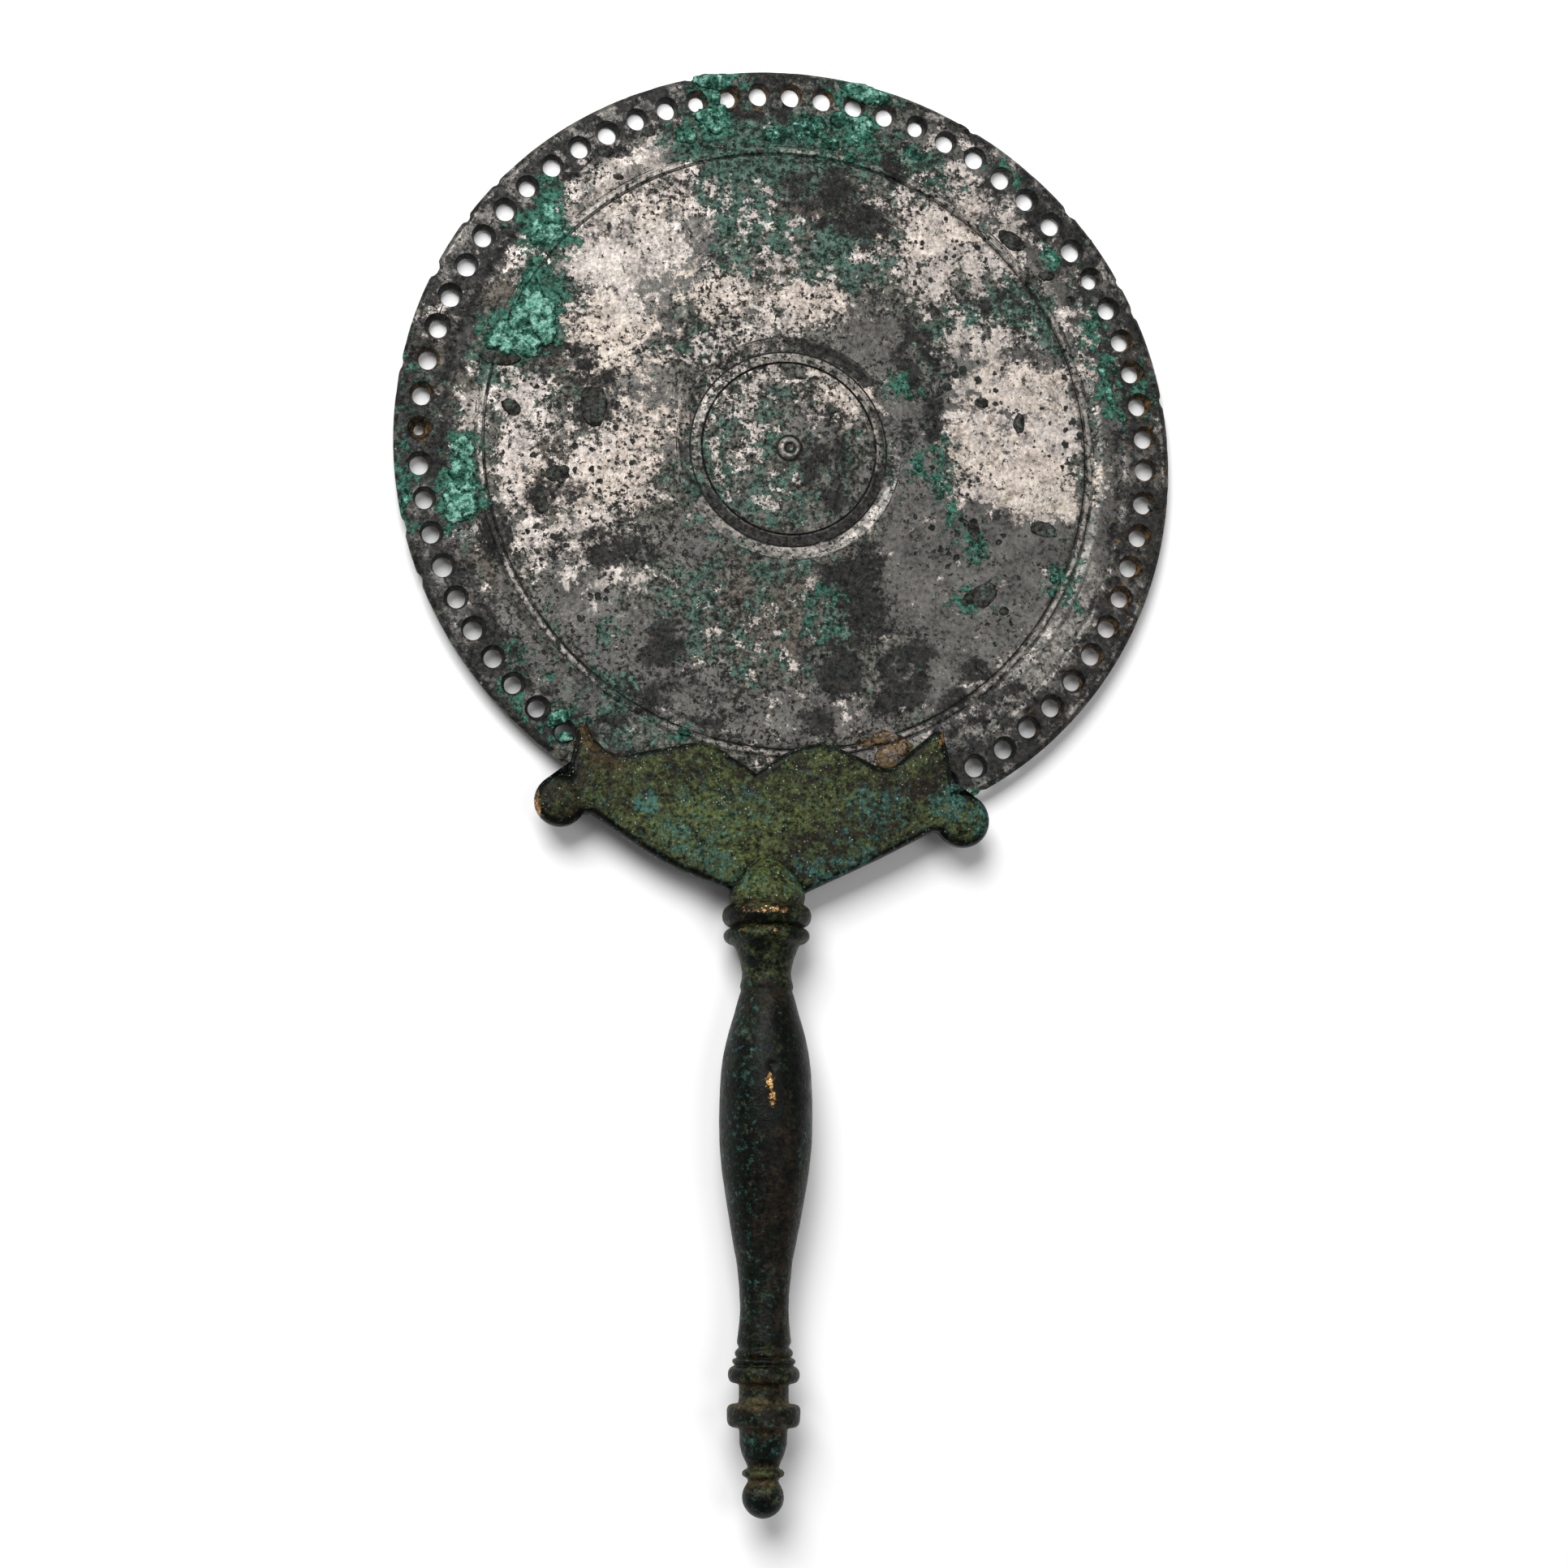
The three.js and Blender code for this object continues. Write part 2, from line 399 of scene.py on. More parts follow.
def linear(hex_colour: str) -> tuple[float, float, float, float]:
    """An sRGB hex colour as linear red, green, blue and full alpha."""
    channels = [int(hex_colour[i:i + 2], 16) / 255 for i in (0, 2, 4)]
    return (*(c / 12.92 if c <= 0.04045 else ((c + 0.055) / 1.055) ** 2.4 for c in channels), 1.0)


def per_mm(size: float) -> float:
    """A texture's scale for features of that size in mm, on coordinates in metres."""
    return 1 / (size * MM)


def add_node(tree: Tree, kind: str, inputs: dict | None = None,
             **settings: object) -> bpy.types.Node:
    """Adds a node to a tree.

    Args:
        tree: the material's or the world's nodes.
        kind: the node's type.
        inputs: socket name or number, to its value or to the output that feeds it.
        settings: the node's own properties.

    Returns:
        The node.
    """
    node = tree.nodes.new(kind)
    for name, value in settings.items():
        setattr(node, name, value)
    for key, value in (inputs or {}).items():
        if isinstance(value, Socket):
            tree.links.new(value, node.inputs[key])
        else:
            node.inputs[key].default_value = value
    return node


# The noise of a film's edge: its turn past the film's own, octaves and crispness.
EDGE_TURN = 0.4
EDGE_OCTAVES = 5.0
EDGE_CRISPNESS = 0.76

# How far a film's roughness swings to each side between its two colours.
ROUGHNESS_SWING = 0.08

# Sockets of a Mix node that are told apart by number: factor, then A, B and result.
FLOAT_MIX = (0, 2, 3, 0)
COLOUR_MIX = (0, 6, 7, 2)


def cloud(tree: Tree, place: Socket, size: float, turn: float, octaves: float = 4.0,
          crispness: float = 0.7) -> Socket:
    """Noise in Object coordinates.

    Args:
        tree: the material's nodes.
        place: the coordinates, in metres.
        size: its largest feature, in mm.
        turn: picks the pattern.
        octaves: how many times it halves in size.
        crispness: how much the fine features count, from 0 to 1.

    Returns:
        Its value, which spreads from about 0.25 to 0.75.
    """
    offset = {0: place, 1: (0.11 + 0.37 * turn, 0.23 * turn, 0.19 - 0.29 * turn)}
    moved = add_node(tree, "ShaderNodeVectorMath", offset, operation="ADD").outputs[0]
    inputs = {"Vector": moved, "Scale": per_mm(size), "Detail": octaves, "Roughness": crispness}
    return add_node(tree, "ShaderNodeTexNoise", inputs, noise_dimensions="3D").outputs[0]


@dataclass(frozen=True)
class Film:
    """One layer of the patina: where it lies, its two mottled colours and its surface.

    label names the coverage attribute. Sizes and heights are in mm: mottle is the size of its
    colour patches, lobe that of its ragged edge, lift how far it stands above what is under it,
    and grain how rough it is. ragged is how far noise moves its edge, in coverage, soft how
    gradually it gives way, and contrast how far apart in the noise its two colours lie.
    """

    label: str
    dark: str
    light: str
    mottle: float
    roughness: float
    metallic: float
    lobe: float = 3.0
    ragged: float = 1.6
    soft: float = 0.06
    lift: float = 0.0
    grain: float = 0.03
    contrast: float = 0.1

    def cover(self, tree: Tree) -> Socket:
        """The film's coverage attribute."""
        return add_node(tree, "ShaderNodeAttribute", attribute_name=self.label).outputs["Fac"]

    def cut(self, tree: Tree, depth: Socket, level: float) -> Socket:
        """1 where depth is over level and 0 where it is under, with the film's own softness."""
        limits = {"Value": depth, "From Min": level - self.soft, "From Max": level + self.soft}
        return add_node(tree, "ShaderNodeMapRange", limits, interpolation_type="SMOOTHSTEP").outputs[0]

    def mask(self, tree: Tree, place: Socket, turn: float) -> Socket:
        """Where the film lies, from 0 to 1: its coverage moved by noise, cut off at a half.

        Args:
            tree: the material's nodes.
            place: the coordinates to draw on.
            turn: picks the pattern.

        Returns:
            The mask.
        """
        edge = cloud(tree, place, self.lobe, turn + EDGE_TURN, EDGE_OCTAVES, EDGE_CRISPNESS)
        shift = {0: edge, 1: 2 * self.ragged, 2: self.cover(tree)}
        total = add_node(tree, "ShaderNodeMath", shift, operation="MULTIPLY_ADD").outputs[0]
        return self.cut(tree, total, 0.5 + self.ragged)

    def look(self, tree: Tree, place: Socket, turn: float, grit: Socket) -> tuple:
        """The film's own colour, roughness, metallic value and height in mm.

        Args:
            tree: the material's nodes.
            place: the coordinates to draw on.
            turn: picks the patterns.
            grit: the fine noise that all films share.

        Returns:
            Four sockets or values, in that order.
        """
        broad = cloud(tree, place, self.mottle, turn, 3.0)
        both = add_node(tree, "ShaderNodeMath", {0: broad, 1: grit}, operation="ADD").outputs[0]
        spread = {"Value": both, "From Min": 1 - 2 * self.contrast, "From Max": 1 + 2 * self.contrast}
        share = add_node(tree, "ShaderNodeMapRange", spread).outputs[0]
        factor, first, second, result = COLOUR_MIX
        colours = {factor: share, first: linear(self.dark), second: linear(self.light)}
        colour = add_node(tree, "ShaderNodeMix", colours, data_type="RGBA").outputs[result]
        rough = {"Value": share, "To Min": self.roughness + ROUGHNESS_SWING,
                 "To Max": self.roughness - ROUGHNESS_SWING}
        roughness = add_node(tree, "ShaderNodeMapRange", rough).outputs[0]
        level = {0: grit, 1: 4 * self.grain, 2: self.lift - 2 * self.grain}
        height = add_node(tree, "ShaderNodeMath", level, operation="MULTIPLY_ADD").outputs[0]
        return colour, roughness, self.metallic, height


@dataclass(frozen=True)
class Specks(Film):
    """A film in separate round specks of many sizes. lobe is the spacing of their cells in mm, and
    density the share of the cells that hold one where the coverage is full. push is how far noise
    moves their edges and ripple that noise's size, both as shares of the spacing."""

    density: float = 0.5
    push: float = 0.7
    ripple: float = 0.6

    def mask(self, tree: Tree, place: Socket, turn: float) -> Socket:
        """Where the specks lie: within each cell's own random radius of its middle, on coordinates
        that noise has pushed about so that the specks aren't quite round.

        Args:
            tree: the material's nodes.
            place: the coordinates to draw on.
            turn: not used.

        Returns:
            The mask.
        """
        rippled = {"Vector": place, "Scale": per_mm(self.lobe * self.ripple), "Detail": 2.0}
        pushed = add_node(tree, "ShaderNodeTexNoise", rippled).outputs[1]
        reach = self.lobe * MM * self.push
        moved = {0: pushed, 1: (reach, reach, reach), 2: place}
        where = add_node(tree, "ShaderNodeVectorMath", moved, operation="MULTIPLY_ADD").outputs[0]
        cell = {"Vector": where, "Scale": per_mm(self.lobe)}
        cells = add_node(tree, "ShaderNodeTexVoronoi", cell, voronoi_dimensions="3D").outputs
        drawn = add_node(tree, "ShaderNodeSeparateColor", {0: cells["Color"]}).outputs[0]
        chance = {0: self.cover(tree), 1: self.density}
        full = add_node(tree, "ShaderNodeMath", chance, operation="MULTIPLY").outputs[0]
        sized = add_node(tree, "ShaderNodeMath", {0: full, 1: drawn}, operation="SUBTRACT").outputs[0]
        inside = {0: sized, 1: cells["Distance"]}
        depth = add_node(tree, "ShaderNodeMath", inside, operation="SUBTRACT").outputs[0]
        return self.cut(tree, depth, 0.0)


@dataclass(frozen=True)
class TurnedLines(Film):
    """Fine lines turned on the lathe. label names the attribute that holds the distance from the
    centre in mm, and each line is a radius and a half width in mm."""

    lines: Stations = ()

    def mask(self, tree: Tree, place: Socket, turn: float) -> Socket:
        """Where a line lies within its half width of its radius and noise hasn't broken it.

        Args:
            tree: the material's nodes.
            place: the coordinates to draw on.
            turn: picks the pattern.

        Returns:
            The mask.
        """
        reach = self.cover(tree)
        shown = 0.0
        for radius, half_width in self.lines:
            near = {0: reach, 1: radius, 2: half_width}
            line = add_node(tree, "ShaderNodeMath", near, operation="COMPARE").outputs[0]
            shown = add_node(tree, "ShaderNodeMath", {0: line, 1: shown}, operation="MAXIMUM").outputs[0]
        kept = self.cut(tree, cloud(tree, place, self.lobe, turn + EDGE_TURN), 0.5 - self.ragged)
        return add_node(tree, "ShaderNodeMath", {0: shown, 1: kept}, operation="MULTIPLY").outputs[0]


@dataclass(frozen=True)
class Finish:
    """A patinated surface: the ground and the films that lie on it in order, the size in mm of the
    grit that they all share, and the gloss of its mineral films, which is low because they are
    porous."""

    name: str
    films: tuple[Film, ...]
    grit: float = 0.7
    specular: float = 0.18
    grit_turn: float = 0.9
    grit_octaves: float = 3.0
    grit_crispness: float = 0.65

    def material(self) -> bpy.types.Material:
        """Builds the finish as a material: each film is mixed over the ones before by its mask,
        and the heights of all of them together drive one bump.

        Returns:
            The material.
        """
        made = bpy.data.materials.new(self.name)
        made.use_nodes = True
        tree = made.node_tree
        surface = tree.nodes["Principled BSDF"]
        place = add_node(tree, "ShaderNodeTexCoord").outputs["Object"]
        grit = cloud(tree, place, self.grit, self.grit_turn, self.grit_octaves, self.grit_crispness)
        sockets = list(self.films[0].look(tree, place, 0.0, grit))
        for turn, film in enumerate(self.films[1:], start=1):
            mask = film.mask(tree, place, float(turn))
            own = film.look(tree, place, float(turn), grit)
            for part, (under, over) in enumerate(zip(sockets, own)):
                factor, first, second, result = FLOAT_MIX if part else COLOUR_MIX
                kind = "FLOAT" if part else "RGBA"
                mixed = {factor: mask, first: under, second: over}
                sockets[part] = add_node(tree, "ShaderNodeMix", mixed, data_type=kind).outputs[result]
        colour, roughness, metallic, height = sockets
        bump = {"Height": height, "Distance": MM}
        normal = add_node(tree, "ShaderNodeBump", bump).outputs["Normal"]
        for name, socket in (("Base Color", colour), ("Roughness", roughness), ("Metallic", metallic),
                             ("Normal", normal)):
            tree.links.new(socket, surface.inputs[name])
        surface.inputs["Specular IOR Level"].default_value = self.specular
        return made


# High-tin bronze, cast, turned and tinned, then buried: dull and dark where the skin is eaten
# away, smooth grey where it is only tarnished, and pale pinkish grey where tin oxide has kept
# the turned surface. Some of its films paint highlights and shade on the turned mouldings, and
# shade on the holes' walls.
DISC_FINISH = Finish("corroded high-tin bronze", (
    Film("ground", "0a0b09", "75756d", 1.6, 0.6, 0.3, grain=0.08, contrast=0.1),
    Film("brown", "221f1b", "777067", 1.4, 0.7, 0.1, lobe=3.0, grain=0.08, contrast=0.12),
    Film("green", "0c1814", "5a7a6d", 1.5, 0.7, 0.05, lobe=3.0, grain=0.09, soft=0.12, contrast=0.1),
    Film("grey", "2a2929", "76746f", 5.0, 0.36, 0.55, lobe=4.5, ragged=1.0, lift=0.04, grain=0.015,
         contrast=0.15),
    Film("pale", "6a6460", "d6ccc4", 3.5, 0.42, 0.3, lobe=3.0, ragged=1.7, lift=0.05, grain=0.03,
         contrast=0.13),
    Film("blush", "83786f", "e0d4c8", 3.0, 0.45, 0.2, lobe=3.0, ragged=1.5, soft=0.15, lift=0.09,
         grain=0.03, contrast=0.13),
    # Painted highlights on the turned mouldings and on the cove's slopes that face the light.
    Film("ridge", "55534f", "a8a29b", 1.5, 0.42, 0.25, lobe=2.5, ragged=0.8, soft=0.15, lift=0.06,
         grain=0.02),
    # Painted shade on the cove's slopes that face away from the light.
    Film("hollow", "131211", "454341", 1.2, 0.5, 0.2, lobe=1.6, ragged=0.6, soft=0.25, grain=0.04),
    # Black stains on the back, and painted shade on the holes' walls.
    Film("dark", "040404", "343332", 1.5, 0.45, 0.3, lobe=4.0, ragged=1.2, soft=0.15, lift=0.03, grain=0.03,
         contrast=0.12),
    # These two films draw dark lines along the turned grooves and steps: partly dirt in the grooves and
    # partly painted shade, with the line at 15.85 mm painted as the shadow of the step at the cove's foot.
    TurnedLines("radius", "050505", "1f1e1c", 1.0, 0.6, 0.1, lobe=6.0, ragged=0.12, lift=-0.1,
                lines=((14.02, 0.18), (15.85, 0.14), (48.45, 0.1), (2.0, 0.2), (0.75, 0.2))),
    TurnedLines("radius", "0c0c0b", "3a3935", 1.0, 0.6, 0.1, lobe=5.0, ragged=-0.01, lift=-0.05,
                lines=((49.95, 0.09), (58.9, 0.1), (18.1, 0.1))),
    Film("pores", "0d0f0c", "30312d", 0.6, 0.65, 0.05, lobe=0.9, ragged=1.7, lift=-0.05, grain=0.03),
    Specks("specks", "0d0f0c", "2e312b", 0.6, 0.65, 0.05, lobe=1.0, lift=-0.1, density=0.5),
    Specks("pits", "080a08", "2b322d", 0.7, 0.65, 0.05, lobe=1.3, lift=-0.25, density=0.8),
    Film("crust", "081c15", "4c8371", 0.9, 0.8, 0.0, lobe=1.8, lift=0.15, grain=0.16, contrast=0.1),
    Film("ochre", "241c11", "755b34", 0.8, 0.75, 0.0, lobe=1.2, lift=0.03, grain=0.05, soft=0.15),
))

# Malachite: a warty green mineral crust, dull, with pale powdery tips and dark creases.
MALACHITE_FINISH = Finish("malachite crust", (
    Film("ground", "051a14", "3f7c69", 1.0, 0.8, 0.0, grain=0.24, contrast=0.1),
    Film("peak", "458571", "9dcfbe", 0.8, 0.85, 0.0, lobe=1.3, soft=0.2, grain=0.14),
    Film("crease", "020805", "12332a", 0.8, 0.8, 0.0, lobe=1.1, soft=0.2, grain=0.08),
), grit=0.6)

# Cuprite and earth: dark, stony scabs on the skin.
CUPRITE_FINISH = Finish("cuprite scab", (
    Film("ground", "0c0d0b", "4c4c46", 0.8, 0.72, 0.0, grain=0.14, contrast=0.13),
    Film("peak", "1c2823", "5b6a62", 0.8, 0.75, 0.0, lobe=1.0, soft=0.2, grain=0.08),
    Film("crease", "040404", "201d19", 0.8, 0.8, 0.0, lobe=0.9, soft=0.15, grain=0.05),
), grit=0.6)

# Solder that has spilled past the bracket and gone to tan and pinkish oxides.
SOLDER_FINISH = Finish("weathered solder", (
    Film("ground", "281e11", "7c6745", 1.2, 0.7, 0.1, grain=0.1, contrast=0.13),
    Film("peak", "4d4440", "8d817c", 1.2, 0.6, 0.2, lobe=1.2, soft=0.2, grain=0.05),
    Film("crease", "100c09", "2c231c", 0.8, 0.8, 0.0, lobe=0.9, soft=0.15, grain=0.05),
), grit=0.6)

# Leaded bronze, cast and filed smooth, under a dense dark patina that hands have burnished: black
# and olive with a low sheen, and gold-brown where the metal is rubbed bare, which is partly painted
# glints. Painted shade darkens the bracket's rounded edges and the crease round the nose's foot.
HANDLE_FINISH = Finish("patinated cast bronze", (
    Film("ground", "010101", "0d0e0b", 3.0, 0.38, 0.1, grain=0.02, contrast=0.12),
    Film("moss", "010201", "101912", 2.0, 0.46, 0.1, lobe=2.6, soft=0.3, grain=0.03, contrast=0.12),
    Film("olive", "040602", "485030", 1.2, 0.5, 0.1, lobe=2.4, soft=0.3, grain=0.08, contrast=0.08),
    Film("umber", "060504", "2b241a", 1.5, 0.5, 0.1, lobe=2.6, soft=0.3, grain=0.05, contrast=0.12),
    # Painted shade: dark on the bracket's rounded edges and in the crease round the nose's foot.
    Film("edge", "020201", "12140f", 1.5, 0.36, 0.2, lobe=2.2, ragged=0.5, soft=0.3, grain=0.02),
    Film("lime", "18220d", "6a7540", 0.8, 0.52, 0.05, lobe=1.4, ragged=1.2, soft=0.4, grain=0.06),
    Film("teal", "0c221e", "46756c", 0.8, 0.6, 0.0, lobe=1.1, ragged=1.2, soft=0.3, lift=0.02, grain=0.06),
    Film("earth", "1a150c", "5b4c31", 1.0, 0.7, 0.0, lobe=1.4, ragged=0.8, soft=0.3, grain=0.05),
    # Pale specks on the bracket's upper side: partly pale dust, partly painted glints.
    Specks("dust_and_glints", "34423a", "a3b0a0", 0.4, 0.45, 0.1, lobe=0.42, soft=0.12, lift=0.03, density=0.5),
    # Gold-brown spots: partly bronze rubbed bare, partly painted glints.
    Film("wear_and_glint", "5c3d1c", "dcae70", 0.5, 0.3, 0.9, lobe=0.9, ragged=0.9, soft=0.12, grain=0.03),
), grit=0.6, specular=0.11)


def make_piece(name: str, shell: tuple[np.ndarray, list[list[int]]], coats: dict[str, np.ndarray],
               finish: Finish, sharp: float = 180.0) -> bpy.types.Object:
    """Turns a shell into a finished piece that rides with the mirror.

    Args:
        name: the piece's name.
        shell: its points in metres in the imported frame, and its faces.
        coats: coverage attributes, one value for each point.
        finish: its surface.
        sharp: the angle between faces, in degrees, above which an edge is left crisp.

    Returns:
        The object, at the origin, with its place in its mesh.
    """
    points, faces = shell
    mesh = bpy.data.meshes.new(name)
    mesh.from_pydata(points.tolist(), [], faces)
    for label, values in coats.items():
        attribute = mesh.attributes.new(label, "FLOAT", "POINT")
        attribute.data.foreach_set("value", values.astype(np.float32))
    mesh.shade_smooth()
    mesh.set_sharp_from_angle(angle=math.radians(sharp))
    mesh.materials.append(finish.material())
    piece = bpy.data.objects.new(name, mesh)
    bpy.context.scene.collection.objects.link(piece)
    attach(piece, "root")
    mesh.calc_loop_triangles()
    log.info("%s: %d points, %d triangles", name, len(points), len(mesh.loop_triangles))
    return piece


# ---- the disc ------------------------------------------------------------------------------------

# Pale skin of tin oxide.
PALE = (
    Patch(-27, 32, 9.5, 9), Patch(-26, 21, 8, 6), Patch(-29, 15, 4, 4), Patch(-19, 17, 3, 1.6, 20, 0.6),
    Patch(-22, 41, 5, 2.5, 30), Patch(-11, 24.5, 5, 3.4, 0, 0.85), Patch(-7, 32, 9, 7, 0, 0.36),
    Patch(-5.5, 19.5, 4.5, 2.2, 0, 0.8), Patch(-15, 41, 4, 3, 20, 0.5), Patch(4, 24, 6, 3.2, 0, 0.9),
    Patch(2, 28, 4, 2, 0, 0.5), Patch(-42, 5, 5.5, 6.5, 0, 0.9), Patch(-30, -5, 9, 6.5, 0, 0.9),
    Patch(-43, -5, 3.5, 9), Patch(-33, -14, 9, 4, 0, 0.9), Patch(-42, -20, 3.4, 3.6, 0, 0.62),
    Patch(-18.5, 5, 3.0, 2.4, 0, 0.9), Patch(-24.5, 2, 2.6, 5, 0, 0.9), Patch(24, 37, 8, 6, -10),
    Patch(31, 32, 5, 4, 0, 0.9), Patch(22, 30, 5, 5), Patch(19, 43, 4, 2.5, 0, 0.8),
    Patch(14, 33, 3, 2, 30, 0.5), Patch(27, 45, 4, 1.5, -25, 0.6), Patch(33, 19, 5, 3, 0, 0.85),
    Patch(27, 19, 4, 2.2, 0, 0.7), Patch(38, 12, 8, 4.5, 0, 0.95), Patch(31, 5, 6, 4, 0, 0.62),
    Patch(42, 3, 5.5, 7), Patch(34, -2, 8, 4, 0, 0.95), Patch(41, -6, 4.5, 2.4, 0, 0.8),
    Strip(20.4, 2.8, -28, 26, 0.9), Patch(-7, 9, 5, 3, 20, 0.5), Patch(8, 8.5, 4.5, 2.6, -20, 0.85),
    Patch(-8, 1, 4, 4, 0, 0.4), Patch(-5, -6, 4, 3, 0, 0.36), Strip(52.3, 2.4, -34, 11),
    Strip(56, 1.2, -33, 6, 0.7), Strip(53, 2.3, 38, 10, 0.62), Patch(-45, 29, 2, 3, 0, 0.8),
    Patch(-56, 20, 1.6, 2.4, 0, 0.7), Patch(-51, 4, 2.4, 3.5, 0, 0.6), Patch(-49, -21, 2, 3.5, 15, 0.6),
    Patch(47, 22, 2, 4, 20, 0.5), Patch(52, 2, 2.4, 7, 0, 0.45), Strip(57, 3.5, 50, 24, 0.3),
    Strip(52.5, 2.0, 84, 10, 0.36), Strip(51.4, 1.5, 140, 14, 0.6), Patch(-28, -21, 5, 2.6, 0, 0.6),
    Patch(-37, -16, 6, 3, 0, 0.6), Patch(-35, -24, 5, 3.4, 0, 0.45), Patch(0, -44, 14, 4, 0, 0.2),
    Patch(-10, -30, 14, 12, 0, 0.2), Patch(20, 12, 5, 9, 0, 0.3),
)

# Painted highlights: bright bands on the turned mouldings' raised edges and on the cove's slopes that face
# the light.
PAINTED_HIGHLIGHTS = (
    Strip(49.15, 0.45, -34, 13), Strip(49.15, 0.4, 35, 14, 0.75), Strip(49.15, 0.3, 178, 26, 0.7),
    Strip(49.15, 0.35, 100, 40, 0.8), Strip(49.15, 0.35, -112, 30, 0.75), Strip(49.15, 0.3, 10, 12, 0.6),
    Strip(49.15, 0.3, -95, 25, 0.5), Strip(15.0, 0.7, -20, 80, 0.62), Strip(17.0, 1.0, 147, 26, 0.9),
    Strip(17.0, 1.0, 205, 34, 0.6), Strip(18.05, 0.25, -60, 50, 0.62), Strip(14.5, 0.3, 60, 60, 0.6),
    Strip(61.45, 0.22, -40, 30, 0.85), Strip(61.5, 0.22, 60, 40, 0.75), Strip(61.45, 0.22, 140, 30, 0.6),
    Strip(55.4, 0.25, 140, 50, 0.7), Strip(55.4, 0.25, -30, 30, 0.55), Strip(1.4, 0.3, 0, 180, 0.75),
    Strip(13.4, 0.2, 40, 30, 0.6), Strip(53.3, 1.2, 128, 20, 0.55),
)

# Painted shade on the turned slopes that face away from the light: the lower half of the band inside the
# cove, the upper half of the cove, and part of the groove at 48.3 mm.
PAINTED_COVE_SHADE = (
    Strip(15.0, 0.75, 172, 70, 0.85), Strip(17.0, 1.0, 28, 22, 0.95), Strip(17.0, 1.0, -38, 48, 0.42),
    Strip(17.0, 1.0, 80, 26, 0.36), Strip(17.0, 1.0, -108, 26, 0.36), Strip(48.3, 0.25, 60, 60, 0.5),
)

# The same skin where it is warmest.
BLUSH = (
    Patch(38, -3, 9, 4), Patch(31, 2, 5, 4, 0, 0.6), Patch(38, 12, 7, 4, 0, 0.6),
    Patch(4, 24, 6, 3, 0, 0.7), Patch(-12, 24, 5, 4, 0, 0.7), Patch(-28, 16, 7, 5, 0, 0.75),
    Patch(-31, -8, 8, 4, 0, 0.7), Patch(-25, 1, 4, 6, 0, 0.6), Patch(24, 37, 6, 4, 0, 0.6),
    Patch(-18, 5, 2.5, 2), Patch(9, 9, 4, 2, -20, 0.7), Patch(-25, 39, 5, 2, 0, 0.6),
)

# Smooth tarnished metal, never eaten away.
GREY = (
    Patch(28, -19, 15, 14), Patch(38, -9, 11, 9), Patch(37, -28, 11, 10), Patch(26, -36, 10, 7),
    Patch(4, -43, 16, 4), Patch(-16, -40, 9, 5, -20, 0.7), Patch(-33, -25, 7, 6),
    Patch(-25, -33, 6, 5, 0, 0.6), Patch(12, 19, 8, 5.5, -15), Patch(-22, 9, 6, 5.5),
    Patch(-19, 22, 3, 2.5), Patch(4, 3, 5, 5.5, 0, 0.7), Patch(16, -6, 3, 7, 15),
    Patch(20, 6, 4, 5, 0, 0.7), Strip(52, 3.4, 128, 42), Strip(52.5, 2.6, 60, 30, 0.8),
    Strip(59, 4.5, -42, 26, 0.9), Strip(59, 4.5, 60, 40, 0.9), Strip(59, 4.5, 128, 38),
    Strip(52.5, 3, -130, 14, 0.7), Strip(59, 4.5, -118, 22, 0.7), Strip(51.5, 3.6, -34, 14),
    Patch(-25, 31, 14, 11), Patch(36, 8, 13, 13), Strip(15, 1, 100, 60, 0.7),
)

# Violet-grey tarnish that the pale skin leaves bare.
VIOLET = (
    Patch(-22.5, 9, 3.4, 5), Patch(13, 19.5, 6, 4.5, -15), Patch(-19.5, 21, 2, 3, 0, 0.6),
    Patch(18, 8, 4, 7), Patch(20, -3, 4, 5), Patch(-33, -31, 10, 2.4, -30), Patch(-14, -16, 6, 2),
    Patch(-18, -1.5, 2.4, 3.4), Strip(57, 3, 128, 50, 0.8),
)

# Verdigris: a thin dull green film.
GREEN = (
    Strip(51, 4.2, 4, 27), Strip(46, 3.5, -6, 18, 0.75), Patch(-8, 38, 9, 7, 0, 0.7),
    Patch(8, 32, 8, 5, 5, 0.85), Patch(37, 26, 6, 4, 0, 0.8), Patch(43, 20, 4, 8, 10, 0.8),
    Patch(29, 23, 6, 2, 25, 0.85), Patch(23, 20, 3, 2, 0, 0.7), Patch(-14, 18.3, 5, 2, 12),
    Patch(-13, 34, 5, 6, 0, 0.6), Patch(-18, 0, 3, 4.5), Patch(5, 2, 6, 6, 0, 0.75),
    Patch(-3, -8, 8, 4, 0, 0.55), Patch(-2, 4, 5, 5, 0, 0.55), Patch(-12, 4, 2, 7, 0, 0.6),
    Patch(-10, 29, 4, 3, 0, 0.7), Patch(-6, -26, 15, 12, 0, 0.36), Patch(7, -26, 4, 5, 0, 0.6),
    Patch(-32, -31, 5, 4, 0, 0.7), Patch(-14, -35, 9, 6, 0, 0.45), Patch(20, -2, 3, 2, 0, 0.8),
    Patch(24.5, -10, 2.6, 6, 0, 0.62), Patch(19, 11, 3, 2.5, 0, 0.8), Strip(50, 5, -140, 14, 0.62),
    Strip(49.5, 1.4, 100, 60, 0.5), Strip(56.5, 3, 155, 12, 0.62), Patch(-38, 24, 3, 8, 0, 0.7),
    Patch(-45, 10, 7, 3, -20, 0.62), Strip(59, 4, -100, 16, 0.62), Patch(52, 12, 3, 8, 10, 0.7),
    Patch(-55, -3, 6, 12, 0, 0.5), Strip(17, 1.2, -130, 30, 0.6), Patch(44, -22, 3, 4, 0, 0.6),
    Patch(47, 31, 4, 4, 0, 0.62), Patch(31, 10, 6, 2.5, -20, 0.5), Patch(-40, 34, 5, 6, 0, 0.8),
    Patch(31, -23, 4, 2, 20, 0.7), Patch(22, -52, 6, 3, 30, 0.5),
)

